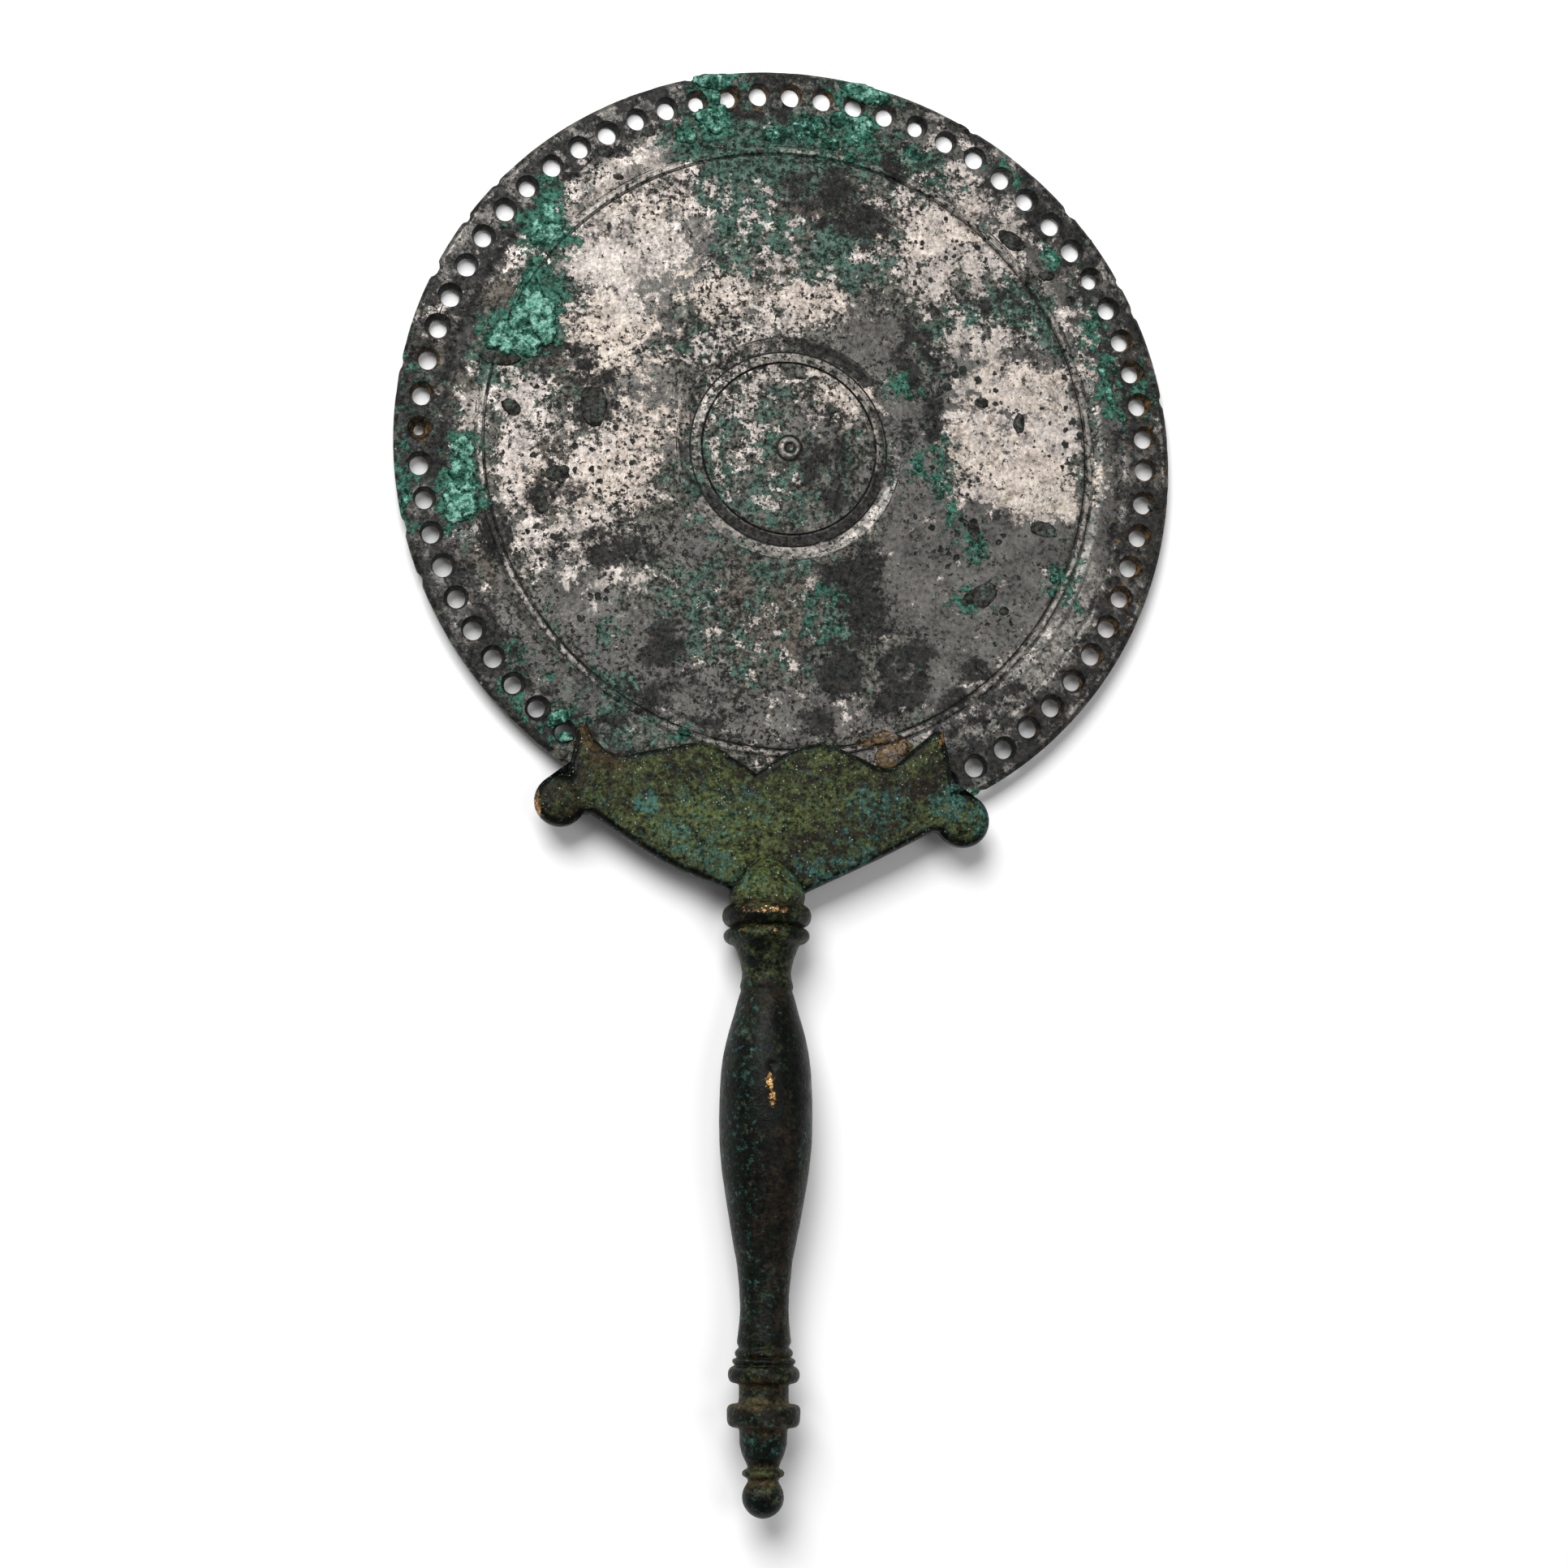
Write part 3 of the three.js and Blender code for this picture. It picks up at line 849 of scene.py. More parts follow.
# Brown copper oxide and earth.
BROWN = (
    Patch(-38, 11, 7, 4, -20), Patch(-34, 14, 5, 3, 0, 0.8), Patch(-46, 21, 3, 8, 0, 0.85),
    Patch(-53, 12, 4, 8, 0, 0.85), Patch(-50, -14, 4, 5), Patch(-38, -7, 3.4, 5),
    Patch(-35, -3, 3, 2, 0, 0.8), Patch(-48, -22, 3, 4, 0, 0.6), Patch(-52, 26, 4, 6, 0, 0.7),
    Patch(36, 36, 3.2, 2.2, -25), Patch(42, 30, 2, 1.5), Patch(22.5, 4.5, 1.4, 1.6),
    Patch(-10, -17, 8, 3, 0, 0.6), Patch(-6, -28, 10, 8, 0, 0.5), Patch(0, -20, 9, 4, 0, 0.6),
    Patch(28, 54, 2, 1.4, -30), Patch(16, -46, 4, 2, -15, 0.9), Patch(6, 42, 6, 4, 0, 0.7),
    Patch(-30, 6, 3, 4, 0, 0.6),
)

# Black stains.
DARK = (
    Patch(5, 43, 5.5, 3, 5, 0.72), Patch(11, 38, 6, 2.6, 0, 0.7), Patch(11.5, -22, 4.5, 7, 10),
    Patch(8, -20.6, 5.5, 2.2, 0), Patch(12, -29, 4, 4, 0, 0.8), Patch(9, -36, 4, 4.5),
    Patch(18, -37, 5, 6.5, -30, 0.75), Patch(4, -34, 3, 3, 0, 0.6), Strip(62.2, 0.9, 0, 180, 1.0),
    Strip(58.5, 3.4, -60, 60, 0.58), Strip(58.5, 3.4, 105, 70, 0.62), Strip(58.5, 3.4, -150, 30, 0.6),
    Strip(56, 2, -70, 25, 0.6), Strip(47, 1.6, -34, 12, 0.4), Patch(33, -42, 6, 3, 40, 0.6),
    Patch(24, -42, 5, 4, 0, 0.6), Patch(-12, -43, 5, 2, 0, 0.55), Patch(22, 8, 3, 6, 0, 0.5),
    Patch(24, 22, 5, 2.5, 0, 0.42), Patch(38, 23, 6, 2.5, -20, 0.3), Patch(-20, -34, 3.2, 5, -15, 0.85),
    Patch(-18, -38, 3, 2, 0, 0.7), Patch(-14, 18.6, 4, 1.4, 10, 0.55), Patch(4, -43.5, 2.4, 2, 0, 0.8),
    Patch(6, -5, 4, 5, 20, 0.56), Patch(7, 2, 3, 5, 0, 0.44), Patch(30, -35, 3, 2, 0, 0.6),
    Patch(-31, -18, 7, 2, 0, 0.6), Patch(40, 16, 4, 2, -20, 0.32), Patch(34, 27, 4, 2, 10, 0.5),
    Patch(20, 17, 3, 5, 0, 0.6), Strip(61.6, 0.9, -120, 40, 0.8), Strip(61.8, 0.8, 140, 40, 0.8),
    Patch(-46, -14, 2.5, 5, 20, 0.7), Patch(18, 46, 3, 1.6, -20, 0.7), Patch(-37, -8.5, 3.4, 3.6, 0, 0.5),
    Patch(-31.4, 5.2, 2.2, 3.2, 20, 0.7), Patch(-36, 12, 8, 3, -15, 0.5), Patch(-24, -42, 6, 2, 20, 0.5),
)

# Fields of small open pits.
PITS = (
    Patch(25, -5, 5, 5), Patch(26, -13, 5, 8), Patch(31, -13, 4, 6), Patch(-30, -27, 6, 4, 0, 0.6),
    Patch(26, 31, 9, 8, 0, 0.5), Patch(28, 12, 12, 5, 0, 0.8), Patch(44, 10, 4, 12, 10, 0.7),
    Patch(-33, 0, 10, 9, 0, 0.6), Patch(34, -22, 6, 6, 0, 0.5),
)

# Malachite film round the crusts.
CRUST = (
    Patch(-43.5, 16.5, 6, 4.5, 15), Patch(-40.5, 22, 4, 5), Patch(-41, 26.5, 2, 2.5),
    Patch(-39.5, 34, 4, 3.6), Patch(-38.5, 39, 2, 3, 0, 0.7), Patch(-12.5, 60, 4.5, 2.5),
    Patch(-12.5, 54, 4, 3.4), Patch(-12, 57.3, 1.5, 2), Patch(11.5, 59.8, 5, 2.4, -12),
    Patch(3, 53, 3.0, 2.2, 0, 0.6), Patch(10.5, 53.5, 3.4, 3.5), Patch(-2, 50.5, 8, 1.6, 0, 0.28),
    Patch(8, 49.5, 4, 1.2, 0, 0.36), Patch(-17, 50.5, 3, 2.5, 0, 0.3), Patch(22, 49, 5, 1.6, -25, 0.3),
    Patch(-52, -10.5, 4, 4.5), Patch(-51.5, -4, 2.2, 4), Patch(-36, -45, 2.6, 2),
    Patch(-16.5, -46.2, 1.3, 0.9), Patch(52, 13, 1.6, 5, 15, 0.7), Patch(50, 22, 1.2, 3, 10, 0.7),
    Patch(43, 34, 1.6, 1.2, -25, 0.9), Patch(-60.5, -9, 1.2, 4, 0, 0.9), Patch(-60.5, 9, 1.2, 3, 0, 0.36),
    Patch(18.5, 10.7, 2, 1.4, 0, 0.7), Patch(20.8, -1.5, 1.4, 1.8, 0, 0.7),
    Patch(43.5, -19.5, 1.2, 1.6, 0, 0.7), Patch(46, -22, 1, 1.6, 0, 0.5), Patch(24.5, -2, 1.0, 3, 0, 0.5),
    Patch(26.5, -9, 1.2, 3, 15, 0.5), Patch(30.5, -14, 1.4, 2, 20, 0.55), Patch(6, -24, 2, 1.2, 0, 0.42),
    Patch(5, -29, 2, 1, 20, 0.42), Patch(30, -23, 2.6, 1.2, 20, 0.6), Patch(30, -56, 4, 1.4, 30, 0.6),
    Patch(-41, -37, 3, 1.4, -40, 0.36), Patch(-42, -42, 4, 1.6, -45, 0.5), Patch(36, 48, 2, 1, -35, 0.7),
    Patch(58, 12, 1.4, 3, 0, 0.62),
)

# Earth and iron-stained deposits in the holes, at the right and at the top.
OCHRE = (
    Patch(0, 0, 0.5, 0.5, 0, 0.9), Strip(58.5, 2.2, 92, 22, 0.6), Strip(58.5, 2.2, -2, 12, 0.6),
    Strip(58.5, 2.2, 118, 18, 0.45), Strip(58.5, 2.0, -84, 8, 0.5),
)


@dataclass(frozen=True)
class MirrorDisc:
    """The disc: a cast and turned plate with mouldings on its back, and tapered holes round its rim.

    Sizes are in mm. Steps say how finely each part is drawn.
    """

    radius: float = 62.5
    thickness: float = 1.6
    hole_count: int = 68
    hole_pitch: float = 58.5
    hole_top: float = 1.87
    hole_throat: float = 1.38
    clogged_hole: int = 34
    clogged_throat: float = 0.75
    band_in: float = 55.4
    band_out: float = 61.4
    arc_steps: int = 12
    side_steps: int = 6
    under_rings: int = 24
    crisp_angle: float = 50.0

    # Drift of the holes' spacing in degrees: steady, and the most that it wanders twice and three
    # times round.
    holes_turned: float = 0.5
    wander_twice: float = 0.7
    wander_thrice: float = 0.33

    # Unevenness of each hole's middle, slant, mouth and throat.
    hole_scatter: tuple[float, float, float, float] = (0.07, 0.08, 0.05, 0.07)

    # What corrosion takes from the back, how rough it leaves it and how high green growth stands,
    # the slow waves of the two faces, and the loss round the rim.
    eaten: float = 0.05
    eaten_rough: float = 0.07
    growth: float = 0.16
    back_wave: float = 0.05
    face_wave: float = 0.03
    rim_wave: float = 0.06
    rim_loss: float = 0.08

    # Radius that each zone of the turned face reaches, and the rings that it is drawn with.
    zones: tuple[tuple[float, int], ...] = (
        (0.8, 4), (1.4, 3), (2.0, 3), (13.8, 24), (14.25, 4), (15.6, 5), (15.9, 2), (18.1, 9),
        (48.2, 52), (48.6, 3), (48.85, 2), (49.65, 3), (49.9, 2), (51.6, 4), (54.7, 6), (55.0, 1),
    )

    # Turned profile of the back: radius and height.
    profile: Stations = (
        (0, 0.1), (0.8, 0.55), (1.4, 0.55), (1.9, 0), (13.85, 0), (14.0, -0.25), (14.2, 0), (15.7, -0.5),
        (15.85, -0.55), (17.9, 0), (48.2, 0), (48.6, -0.2), (48.85, 0.18), (49.6, 0.1), (49.8, -0.2),
        (51.6, 0.25), (54.7, -0.12), (55.4, 0.05), (61.8, 0), (62.5, -0.5),
    )

    # Foot and lip of the cove, as radii, and how deep it is.
    cove: tuple[float, float, float] = (15.85, 17.9, 0.55)

    # Section of the rim outside the holes: radius, and depth through the plate from 0 to 1.
    rim: Stations = (
        (61.4, 0.0), (61.62, 0.0), (61.8, 0.0), (62.15, 0.0), (62.5, 0.0), (62.5, 0.35), (62.5, 0.68),
        (62.25, 0.9), (61.9, 1.0), (61.4, 1.0),
    )

    # Nicks in the rim: bearing clockwise from +Y and half width in degrees, depth in mm.
    nicks: tuple[tuple[float, float, float], ...] = (
        (-65, 1.6, 0.7), (-56, 1.0, 0.5), (-49, 0.8, 0.3), (-80, 1.2, 0.3), (-104, 1.5, 0.4),
        (-112, 1.0, 0.4), (29, 0.8, 0.35), (48, 1.3, 0.45), (61, 0.9, 0.4), (66, 1.2, 0.35),
        (80, 1.0, 0.35), (-15, 0.9, 0.3), (150, 0.8, 0.3),
    )

    def turned_height(self, radius: np.ndarray) -> np.ndarray:
        """Height of the turned back at each radius: straight between the profile's stations, and a
        hollow that falls with the square of the distance from its lip along the cove.

        Args:
            radius: distances from the centre, in mm.

        Returns:
            Heights in mm.
        """
        heights = np.interp(radius, *np.array(self.profile).T)
        foot, lip, depth = self.cove
        share = np.clip((radius - foot) / (lip - foot), 0, 1)
        in_cove = (radius > foot) & (radius < lip)
        return np.where(in_cove, -depth * (1 - share ** 2), heights)

    def pierced_band(self) -> np.ndarray:
        """One grid round each hole, from the edge of its share of the band in to the hole, down
        its wall and back out under the disc. Each row is a loop: the share's outline, pulled in
        towards a circle about the hole.

        Returns:
            Points (holes, rows, loop, 3). The third number is the depth through the plate, 0 to 1.
        """
        half = math.pi / self.hole_count
        arc = np.linspace(-half, half, self.arc_steps, endpoint=False)
        side = np.linspace(self.band_in, self.band_out, self.side_steps, endpoint=False)
        bearing = np.concatenate([np.full_like(side, -half), arc, np.full_like(side, half), -arc])
        back = self.band_in + self.band_out - side
        outer, inner = np.full_like(arc, self.band_out), np.full_like(arc, self.band_in)
        reach = np.concatenate([side, outer, back, inner])
        outline = np.stack([reach * np.cos(bearing), reach * np.sin(bearing)], axis=-1)
        draw = np.random.default_rng(11)
        off_centre, slant, off_mouth, off_throat = self.hole_scatter
        centre = np.array([self.hole_pitch, 0]) + draw.normal(0, off_centre, (self.hole_count, 1, 2))
        tilt = draw.normal(0, slant, (self.hole_count, 1, 2))
        wide = self.hole_top + draw.normal(0, off_mouth, (self.hole_count, 1, 1))
        throat = self.hole_throat + draw.normal(0, off_throat, (self.hole_count, 1, 1))
        throat[self.clogged_hole] = self.clogged_throat
        away = outline - centre
        away = away / np.linalg.norm(away, axis=-1, keepdims=True)
        lip = centre + away * (wide + 0.08)
        bottom = centre + tilt + away * throat
        rows = [(outline * (1 - pull) + lip * pull, 0.0) for pull in (0.0, 0.4, 0.75, 1.0)]
        rows.append((centre + away * wide, 0.06))
        rows.append((centre + tilt * 0.8 + away * (throat + 0.08), 0.75))
        rows += [(bottom, 1.0), (np.broadcast_to(outline, bottom.shape), 1.0)]
        grids = []
        for flat, depth in rows:
            flat = np.broadcast_to(flat, bottom.shape)
            grids.append(np.concatenate([flat, np.full((*flat.shape[:2], 1), depth)], axis=-1))
        grid = np.stack(grids, axis=1)
        turn = 2 * math.pi * np.arange(self.hole_count)[:, None, None] / self.hole_count
        x = grid[..., 0] * np.cos(turn) - grid[..., 1] * np.sin(turn)
        y = grid[..., 0] * np.sin(turn) + grid[..., 1] * np.cos(turn)
        return np.stack([x, y, grid[..., 2]], axis=-1)

    def sheets(self) -> Shell:
        """Lays out the disc's patches with the depth through the plate as the third number: the
        turned face, the pierced band, the rim and the polished face.

        Returns:
            The disc in the making.
        """
        shell = Shell()
        steps = [np.linspace(start, end, count + 1)[1:] for (start, _), (end, count)
                 in zip(((0.0, 0), *self.zones), self.zones)]
        radii = np.concatenate([[0.0], *steps])
        shell.sheet(folded_disc(radii))
        around = self.hole_count * self.arc_steps
        shell.stitch(ring_points(radii[-1], 8 * (len(radii) - 1)), ring_points(self.band_in, around))
        shell.sheet(self.pierced_band(), around=True)
        rim = np.stack([ring_points(reach, around, depth) for reach, depth in self.rim])
        shell.sheet(rim, around=True, flip=True)
        under = np.linspace(0, radii[-1], self.under_rings + 1)
        lower = ring_points(under[-1], 8 * self.under_rings, 1.0)
        shell.stitch(lower, ring_points(self.band_in, around, 1.0), flip=True)
        shell.sheet(folded_disc(under) + np.array([0, 0, 1.0]), flip=True)
        return shell

    def spaced_by_eye(self, points: np.ndarray) -> np.ndarray:
        """Turns each point by the slow drift in the holes' spacing, fully from the outer moulding
        outwards and not at all near the middle. The angle runs clockwise from +Y.

        Args:
            points: places in mm (n, 3), of which the third number is left.

        Returns:
            Places (n, 2).
        """
        angle = np.arctan2(points[:, 0], points[:, 1])
        radius = np.hypot(points[:, 0], points[:, 1])
        drift = (self.holes_turned - self.wander_twice * np.sin(2 * angle + 0.2)
                 - self.wander_thrice * np.sin(3 * angle + 0.7))
        angle = angle + np.radians(drift) * blend(25, 50, radius)
        return np.stack([radius * np.sin(angle), radius * np.cos(angle)], axis=-1)

    def chipped(self, flat: np.ndarray) -> np.ndarray:
        """Draws the rim in by its nicks and its slight waviness, fading inwards over 2 mm.

        Args:
            flat: places in mm (n, 2).

        Returns:
            Places (n, 2).
        """
        radius = np.hypot(flat[:, 0], flat[:, 1])
        bearing = np.degrees(np.arctan2(flat[:, 0], flat[:, 1]))
        unit = flat / np.maximum(radius, 1e-9)[:, None]
        ring = np.concatenate([unit * self.radius, np.zeros((len(flat), 1))], axis=-1)
        bites = np.clip(noise(ring, 1.6, 32) - 0.1, 0, 1)
        loss = self.rim_wave * noise(ring, 5.0, 31) + self.rim_loss * bites
        for middle, half, depth in self.nicks:
            away = (bearing - middle + 180) % 360 - 180
            loss = np.maximum(loss, depth * (1 - blend(0.3 * half, half, np.abs(away))))
        return flat * (1 - loss * blend(60.6, 62.3, radius) / self.radius)[:, None]

    def coats(self, flat: np.ndarray, depth: np.ndarray) -> dict[str, np.ndarray]:
        """Coverage of each film: from the patches on the back, painted dark in the holes as shade and
        stained there, and broad and even on the polished face.

        Args:
            flat: places across the disc (n, 2).
            depth: depth through the plate, from 0 on the back to 1 on the polished face.

        Returns:
            Film labels, to one value for each point.
        """
        places = np.concatenate([flat, np.zeros((len(flat), 1))], axis=-1)
        back = 1 - blend(0.0, 0.1, depth)
        face = blend(0.9, 1.0, depth)
        radius = np.hypot(flat[:, 0], flat[:, 1])
        in_wall = (1 - back) * (1 - face)
        low = noise(places + 200.0, 22.0, 71)
        under = {
            "pale": 0.42 + 0.5 * low,
            "grey": np.full_like(low, 0.85),
            "green": 0.3 - 0.5 * low,
            "brown": 0.25 + 0.4 * noise(places + 200.0, 15.0, 73),
            "dark": 0.2 - 0.4 * low,
            "crust": 0.12 - 0.4 * low,
        }
        on_back = {
            "pale": coverage(PALE, places, 1),
            "grey": coverage(GREY, places, 3),
            "green": coverage(GREEN, places, 5),
            "brown": coverage(BROWN, places, 7, wander=1.0),
            "dark": coverage(DARK, places, 9, wander=1.0, slope=0.16),
            "crust": coverage(CRUST, places, 11, wander=0.7, slope=0.2),
        }
        bare = coverage(VIOLET, places, 21)
        on_back["pale"] = on_back["pale"] - bare
        on_back["grey"] = np.maximum(on_back["grey"], bare)
        # The holes' walls are painted dark as shade, with some brown oxide.
        in_holes = {"dark": 0.8, "brown": 0.5}
        made = {label: back * on_back[label] + face * under[label] + in_wall * in_holes.get(label, 0.0)
                for label in on_back}
        made["blush"] = back * coverage(BLUSH, places, 19)
        calm = np.maximum(blend(0.55, 0.85, made["grey"]), blend(0.7, 1.0, made["pale"]))
        made["pores"] = 0.27 - 0.17 * calm + 0.25 * noise(places, 12.0, 12)
        made["specks"] = 0.62 - 0.3 * calm + 0.6 * noise(places, 9.0, 13)
        # Painted highlights on the turned mouldings and on the cove's slopes that face the light.
        made["ridge"] = back * coverage(PAINTED_HIGHLIGHTS, places, 14, wander=0.06, slope=1.0)
        # Painted shade on the cove's slopes that face away from the light.
        made["hollow"] = back * coverage(PAINTED_COVE_SHADE, places, 22, wander=0.06, slope=1.0)
        made["pits"] = back * coverage(PITS, places, 15)
        made["ochre"] = (in_wall + 0.25 * back) * coverage(OCHRE, places, 17, wander=0.3)
        made["radius"] = radius * back
        return made

    def build(self, lying: LyingFrame) -> bpy.types.Object:
        """Builds the disc: the turned profile plus the loss and growth of its corrosion, and a
        nearly flat polished face.

        Args:
            lying: where the mirror lies.

        Returns:
            The piece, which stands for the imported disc.
        """
        points, faces = self.sheets().weld()
        depth = points[:, 2]
        flat = self.chipped(self.spaced_by_eye(points))
        coats = self.coats(flat, depth)
        places = np.concatenate([flat, np.zeros((len(flat), 1))], axis=-1)
        radius = np.hypot(points[:, 0], points[:, 1])
        open_skin = 1 - np.clip(blend(0.4, 0.6, coats["pale"]) + blend(0.4, 0.6, coats["grey"]), 0, 1)
        grown = blend(0.4, 0.9, coats["green"]) + 1.5 * blend(0.4, 0.8, coats["crust"])
        relief = -self.eaten * open_skin
        relief += self.eaten_rough * open_skin * noise(places, 1.8, 21, octaves=3)
        relief += grown * self.growth * (0.3 + np.abs(noise(places, 2.2, 22)))
        relief += self.back_wave * noise(places, 20.0, 23, octaves=2)
        back = self.turned_height(radius) + relief * blend(0.2, 0.6, self.radius - radius)
        face = -self.thickness + self.face_wave * noise(places, 9.0, 24)
        height = (1 - depth) * back + depth * face
        solid = np.concatenate([flat, height[:, None]], axis=-1)
        shell = (lying.place(solid), faces)
        piece = make_piece("disc_bronze", shell, coats, DISC_FINISH, self.crisp_angle)
        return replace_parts(piece, "mirror_disc")


# ---- crusts on the disc --------------------------------------------------------------------------

class Mineral(Enum):
    """What a crust is made of: its piece's name and its finish."""

    MALACHITE = ("malachite_crusts", MALACHITE_FINISH)
    CUPRITE = ("cuprite_crusts", CUPRITE_FINISH)
    SOLDER = ("solder_remains", SOLDER_FINISH)


@dataclass(frozen=True)
class Crusts:
    """Lumps of one mineral that stand on the disc's back.

    Each lump is a Patch, and its cover is its height in mm.
    """

    mineral: Mineral
    lumps: tuple[Patch, ...]
    rows: int = 24
    columns: int = 84
    seed: int = 100
    wart_size: float = 1.5
    swell_size: float = 3.0
    sunk: float = 0.35

    def lump(self, patch: Patch, number: int, disc: MirrorDisc) -> np.ndarray:
        """One lump: rings about its middle that swell to a ragged outline, with a warty top that
        is steep at the edge, an overhanging lip, and a flat base sunk in the bronze.

        Args:
            patch: its place, half-axes, turn and height.
            number: tells its noise apart from the other lumps'.
            disc: the disc that it stands on.

        Returns:
            Points (rows + 2, columns, 3).
        """
        angle = np.linspace(0, 2 * math.pi, self.columns, endpoint=False)
        reach = np.concatenate([np.linspace(0, 1, self.rows), [0.96, 0.0]])[:, None]
        unit = np.stack([np.cos(angle), np.sin(angle), 0 * angle + 3.7 * number], axis=-1)
        size = min(patch.long, patch.short)
        ragged = 1 + 0.55 * noise(unit * size, self.wart_size, self.seed)
        u = reach * ragged * patch.long * unit[:, 0]
        v = reach * ragged * patch.short * unit[:, 1]
        turn = math.radians(patch.turn)
        x = patch.x + u * math.cos(turn) - v * math.sin(turn)
        y = patch.y + u * math.sin(turn) + v * math.cos(turn)
        places = np.stack([x, y, 0 * x], axis=-1)
        warts = 1 - 1.6 * np.abs(noise(places, self.wart_size, self.seed + 1, octaves=3))
        swell = 0.8 + 0.7 * noise(places, self.swell_size, self.seed + 2, octaves=2)
        share = (1 - reach ** 4) ** 0.6 * (0.45 + 0.55 * warts) * swell
        share[-3], share[-2], share[-1] = 0.12 * swell[-3], -0.1, -0.1
        height = disc.turned_height(np.hypot(x, y)) + patch.cover * share
        height[-2:] = -self.sunk
        return np.stack([x, y, height], axis=-1)

    def build(self, disc: MirrorDisc, lying: LyingFrame) -> bpy.types.Object:
        """Builds the lumps as one piece.

        Args:
            disc: the disc that they stand on.
            lying: where the mirror lies.

        Returns:
            The piece.
        """
        shell = Shell()
        for number, patch in enumerate(self.lumps):
            grid = self.lump(patch, number, disc)
            grid[0] = grid[0].mean(axis=0)
            shell.sheet(grid, around=True, flip=True)
        points, faces = shell.weld()
        rise = points[:, 2] - disc.turned_height(np.hypot(points[:, 0], points[:, 1]))
        fine = noise(points, 1.2, self.seed + 3)
        coats = {"peak": 0.15 + 0.5 * rise + 0.6 * fine, "crease": 0.62 - 1.1 * rise - 0.5 * fine}
        name, finish = self.mineral.value
        return make_piece(name, (lying.place(points), faces), coats, finish)


# Lumps on the disc. A lump's cover is its height in mm.
MALACHITE_LUMPS = (
    Patch(-44.2, 15.6, 4.2, 3.2, 10, 1.15), Patch(-40.6, 19.6, 3.3, 3.6, 0, 1.1),
    Patch(-41.5, 24.3, 1.7, 2.8, 5, 0.6), Patch(-38.9, 17.2, 1.6, 2.4, 0, 0.8),
    Patch(-39.3, 33.6, 3.0, 2.2, 20, 1.0), Patch(-39.0, 37.0, 1.5, 1.9, 0, 0.5),
    Patch(-12.6, 60.1, 3.2, 1.6, 5, 0.7), Patch(-12.6, 54.0, 3.2, 2.3, 0, 0.85),
    Patch(-12.2, 57.2, 0.8, 1.5, 0, 0.5), Patch(11.6, 60.0, 4.2, 1.7, -12, 0.75),
    Patch(3.2, 53.2, 2.7, 2.2, 0, 0.5), Patch(8.2, 55.0, 2.0, 1.5, 0, 0.5),
    Patch(11.8, 53.2, 2.3, 2.8, 0, 0.65), Patch(6.6, 50.8, 1.5, 0.9, 0, 0.4),
    Patch(10.0, 48.6, 1.2, 0.9, 0, 0.45), Patch(-17.2, 50.8, 2.0, 1.5, 0, 0.4),
    Patch(-2.5, 51.5, 2.4, 1.2, 0, 0.35), Patch(20.5, 50.0, 1.8, 1.0, -25, 0.35),
    Patch(-51.8, -10.4, 3.1, 3.3, 0, 1.15), Patch(-51.6, -6.2, 1.9, 2.0, 0, 0.8),
    Patch(-51.6, -2.6, 1.9, 1.9, 0, 0.75), Patch(-52.3, -13.4, 1.8, 1.0, 0, 0.5),
    Patch(-36.4, -44.6, 1.7, 1.1, 20, 0.6), Patch(-35.2, -47.6, 1.2, 0.8, 0, 0.4),
    Patch(-16.5, -46.2, 1.0, 0.6, -10, 0.35), Patch(51.4, 15.4, 0.8, 1.3, 15, 0.45),
    Patch(52.6, 11.2, 0.9, 2.0, 15, 0.5), Patch(54.8, 7.6, 0.7, 0.6, 0, 0.4),
    Patch(49.6, 22.6, 0.6, 1.3, 15, 0.4), Patch(43.2, 34.2, 1.3, 0.8, -28, 0.5),
    Patch(-60.6, -10.8, 0.6, 2.0, -8, 0.3), Patch(18.3, 11.0, 0.9, 0.7, 0, 0.35),
    Patch(21.0, -2.0, 0.7, 0.9, 0, 0.3), Patch(43.0, -19.4, 0.7, 0.8, 0, 0.35),
    Patch(19.6, 9.6, 0.6, 0.5, 0, 0.3),
)

CUPRITE_LUMPS = (
    Patch(-31.4, 5.2, 2.2, 3.0, 20, 0.5), Patch(31.0, -22.8, 3.6, 1.7, 25, 0.35),
    Patch(41.6, -11.6, 2.5, 1.3, -15, 0.35), Patch(30.0, -12.0, 1.0, 2.0, 5, 0.3),
    Patch(37.6, 6.0, 1.0, 1.8, 0, 0.3), Patch(36.6, 36.2, 2.4, 1.5, -30, 0.35),
    Patch(42.2, 30.8, 1.4, 0.8, 0, 0.25), Patch(28.6, 54.9, 1.2, 0.7, -35, 0.3),
    Patch(49.4, 36.9, 0.8, 0.6, 40, 0.3), Patch(34.8, -25.0, 0.8, 0.7, 0, 0.2),
    Patch(34.0, -13.8, 0.7, 0.6, 0, 0.25), Patch(-44.4, 4.6, 1.8, 1.4, -30, 0.3),
    Patch(-37.0, -6.0, 1.8, 1.4, 0, 0.3), Patch(-39.4, -10.8, 1.2, 2.2, 10, 0.35),
    Patch(31.4, 9.0, 1.3, 0.9, 0, 0.3), Patch(24.0, 14.6, 0.6, 0.8, 0, 0.25),
    Patch(22.4, 5.2, 1.3, 1.2, 0, 0.3), Patch(7.0, 6.6, 0.8, 0.6, 0, 0.3),
    Patch(-46.0, 12.4, 2.8, 1.1, -5, 0.35), Patch(60.0, -6.8, 1.0, 0.6, 0, 0.2),
    Patch(-27.8, 43.0, 0.8, 0.4, 0, 0.2), Patch(-30.0, 47.2, 1.2, 0.9, 0, 0.25),
    Patch(-23.0, 50.8, 1.1, 0.8, 0, 0.3), Patch(46.4, 27.0, 0.9, 0.8, 0, 0.3),
)

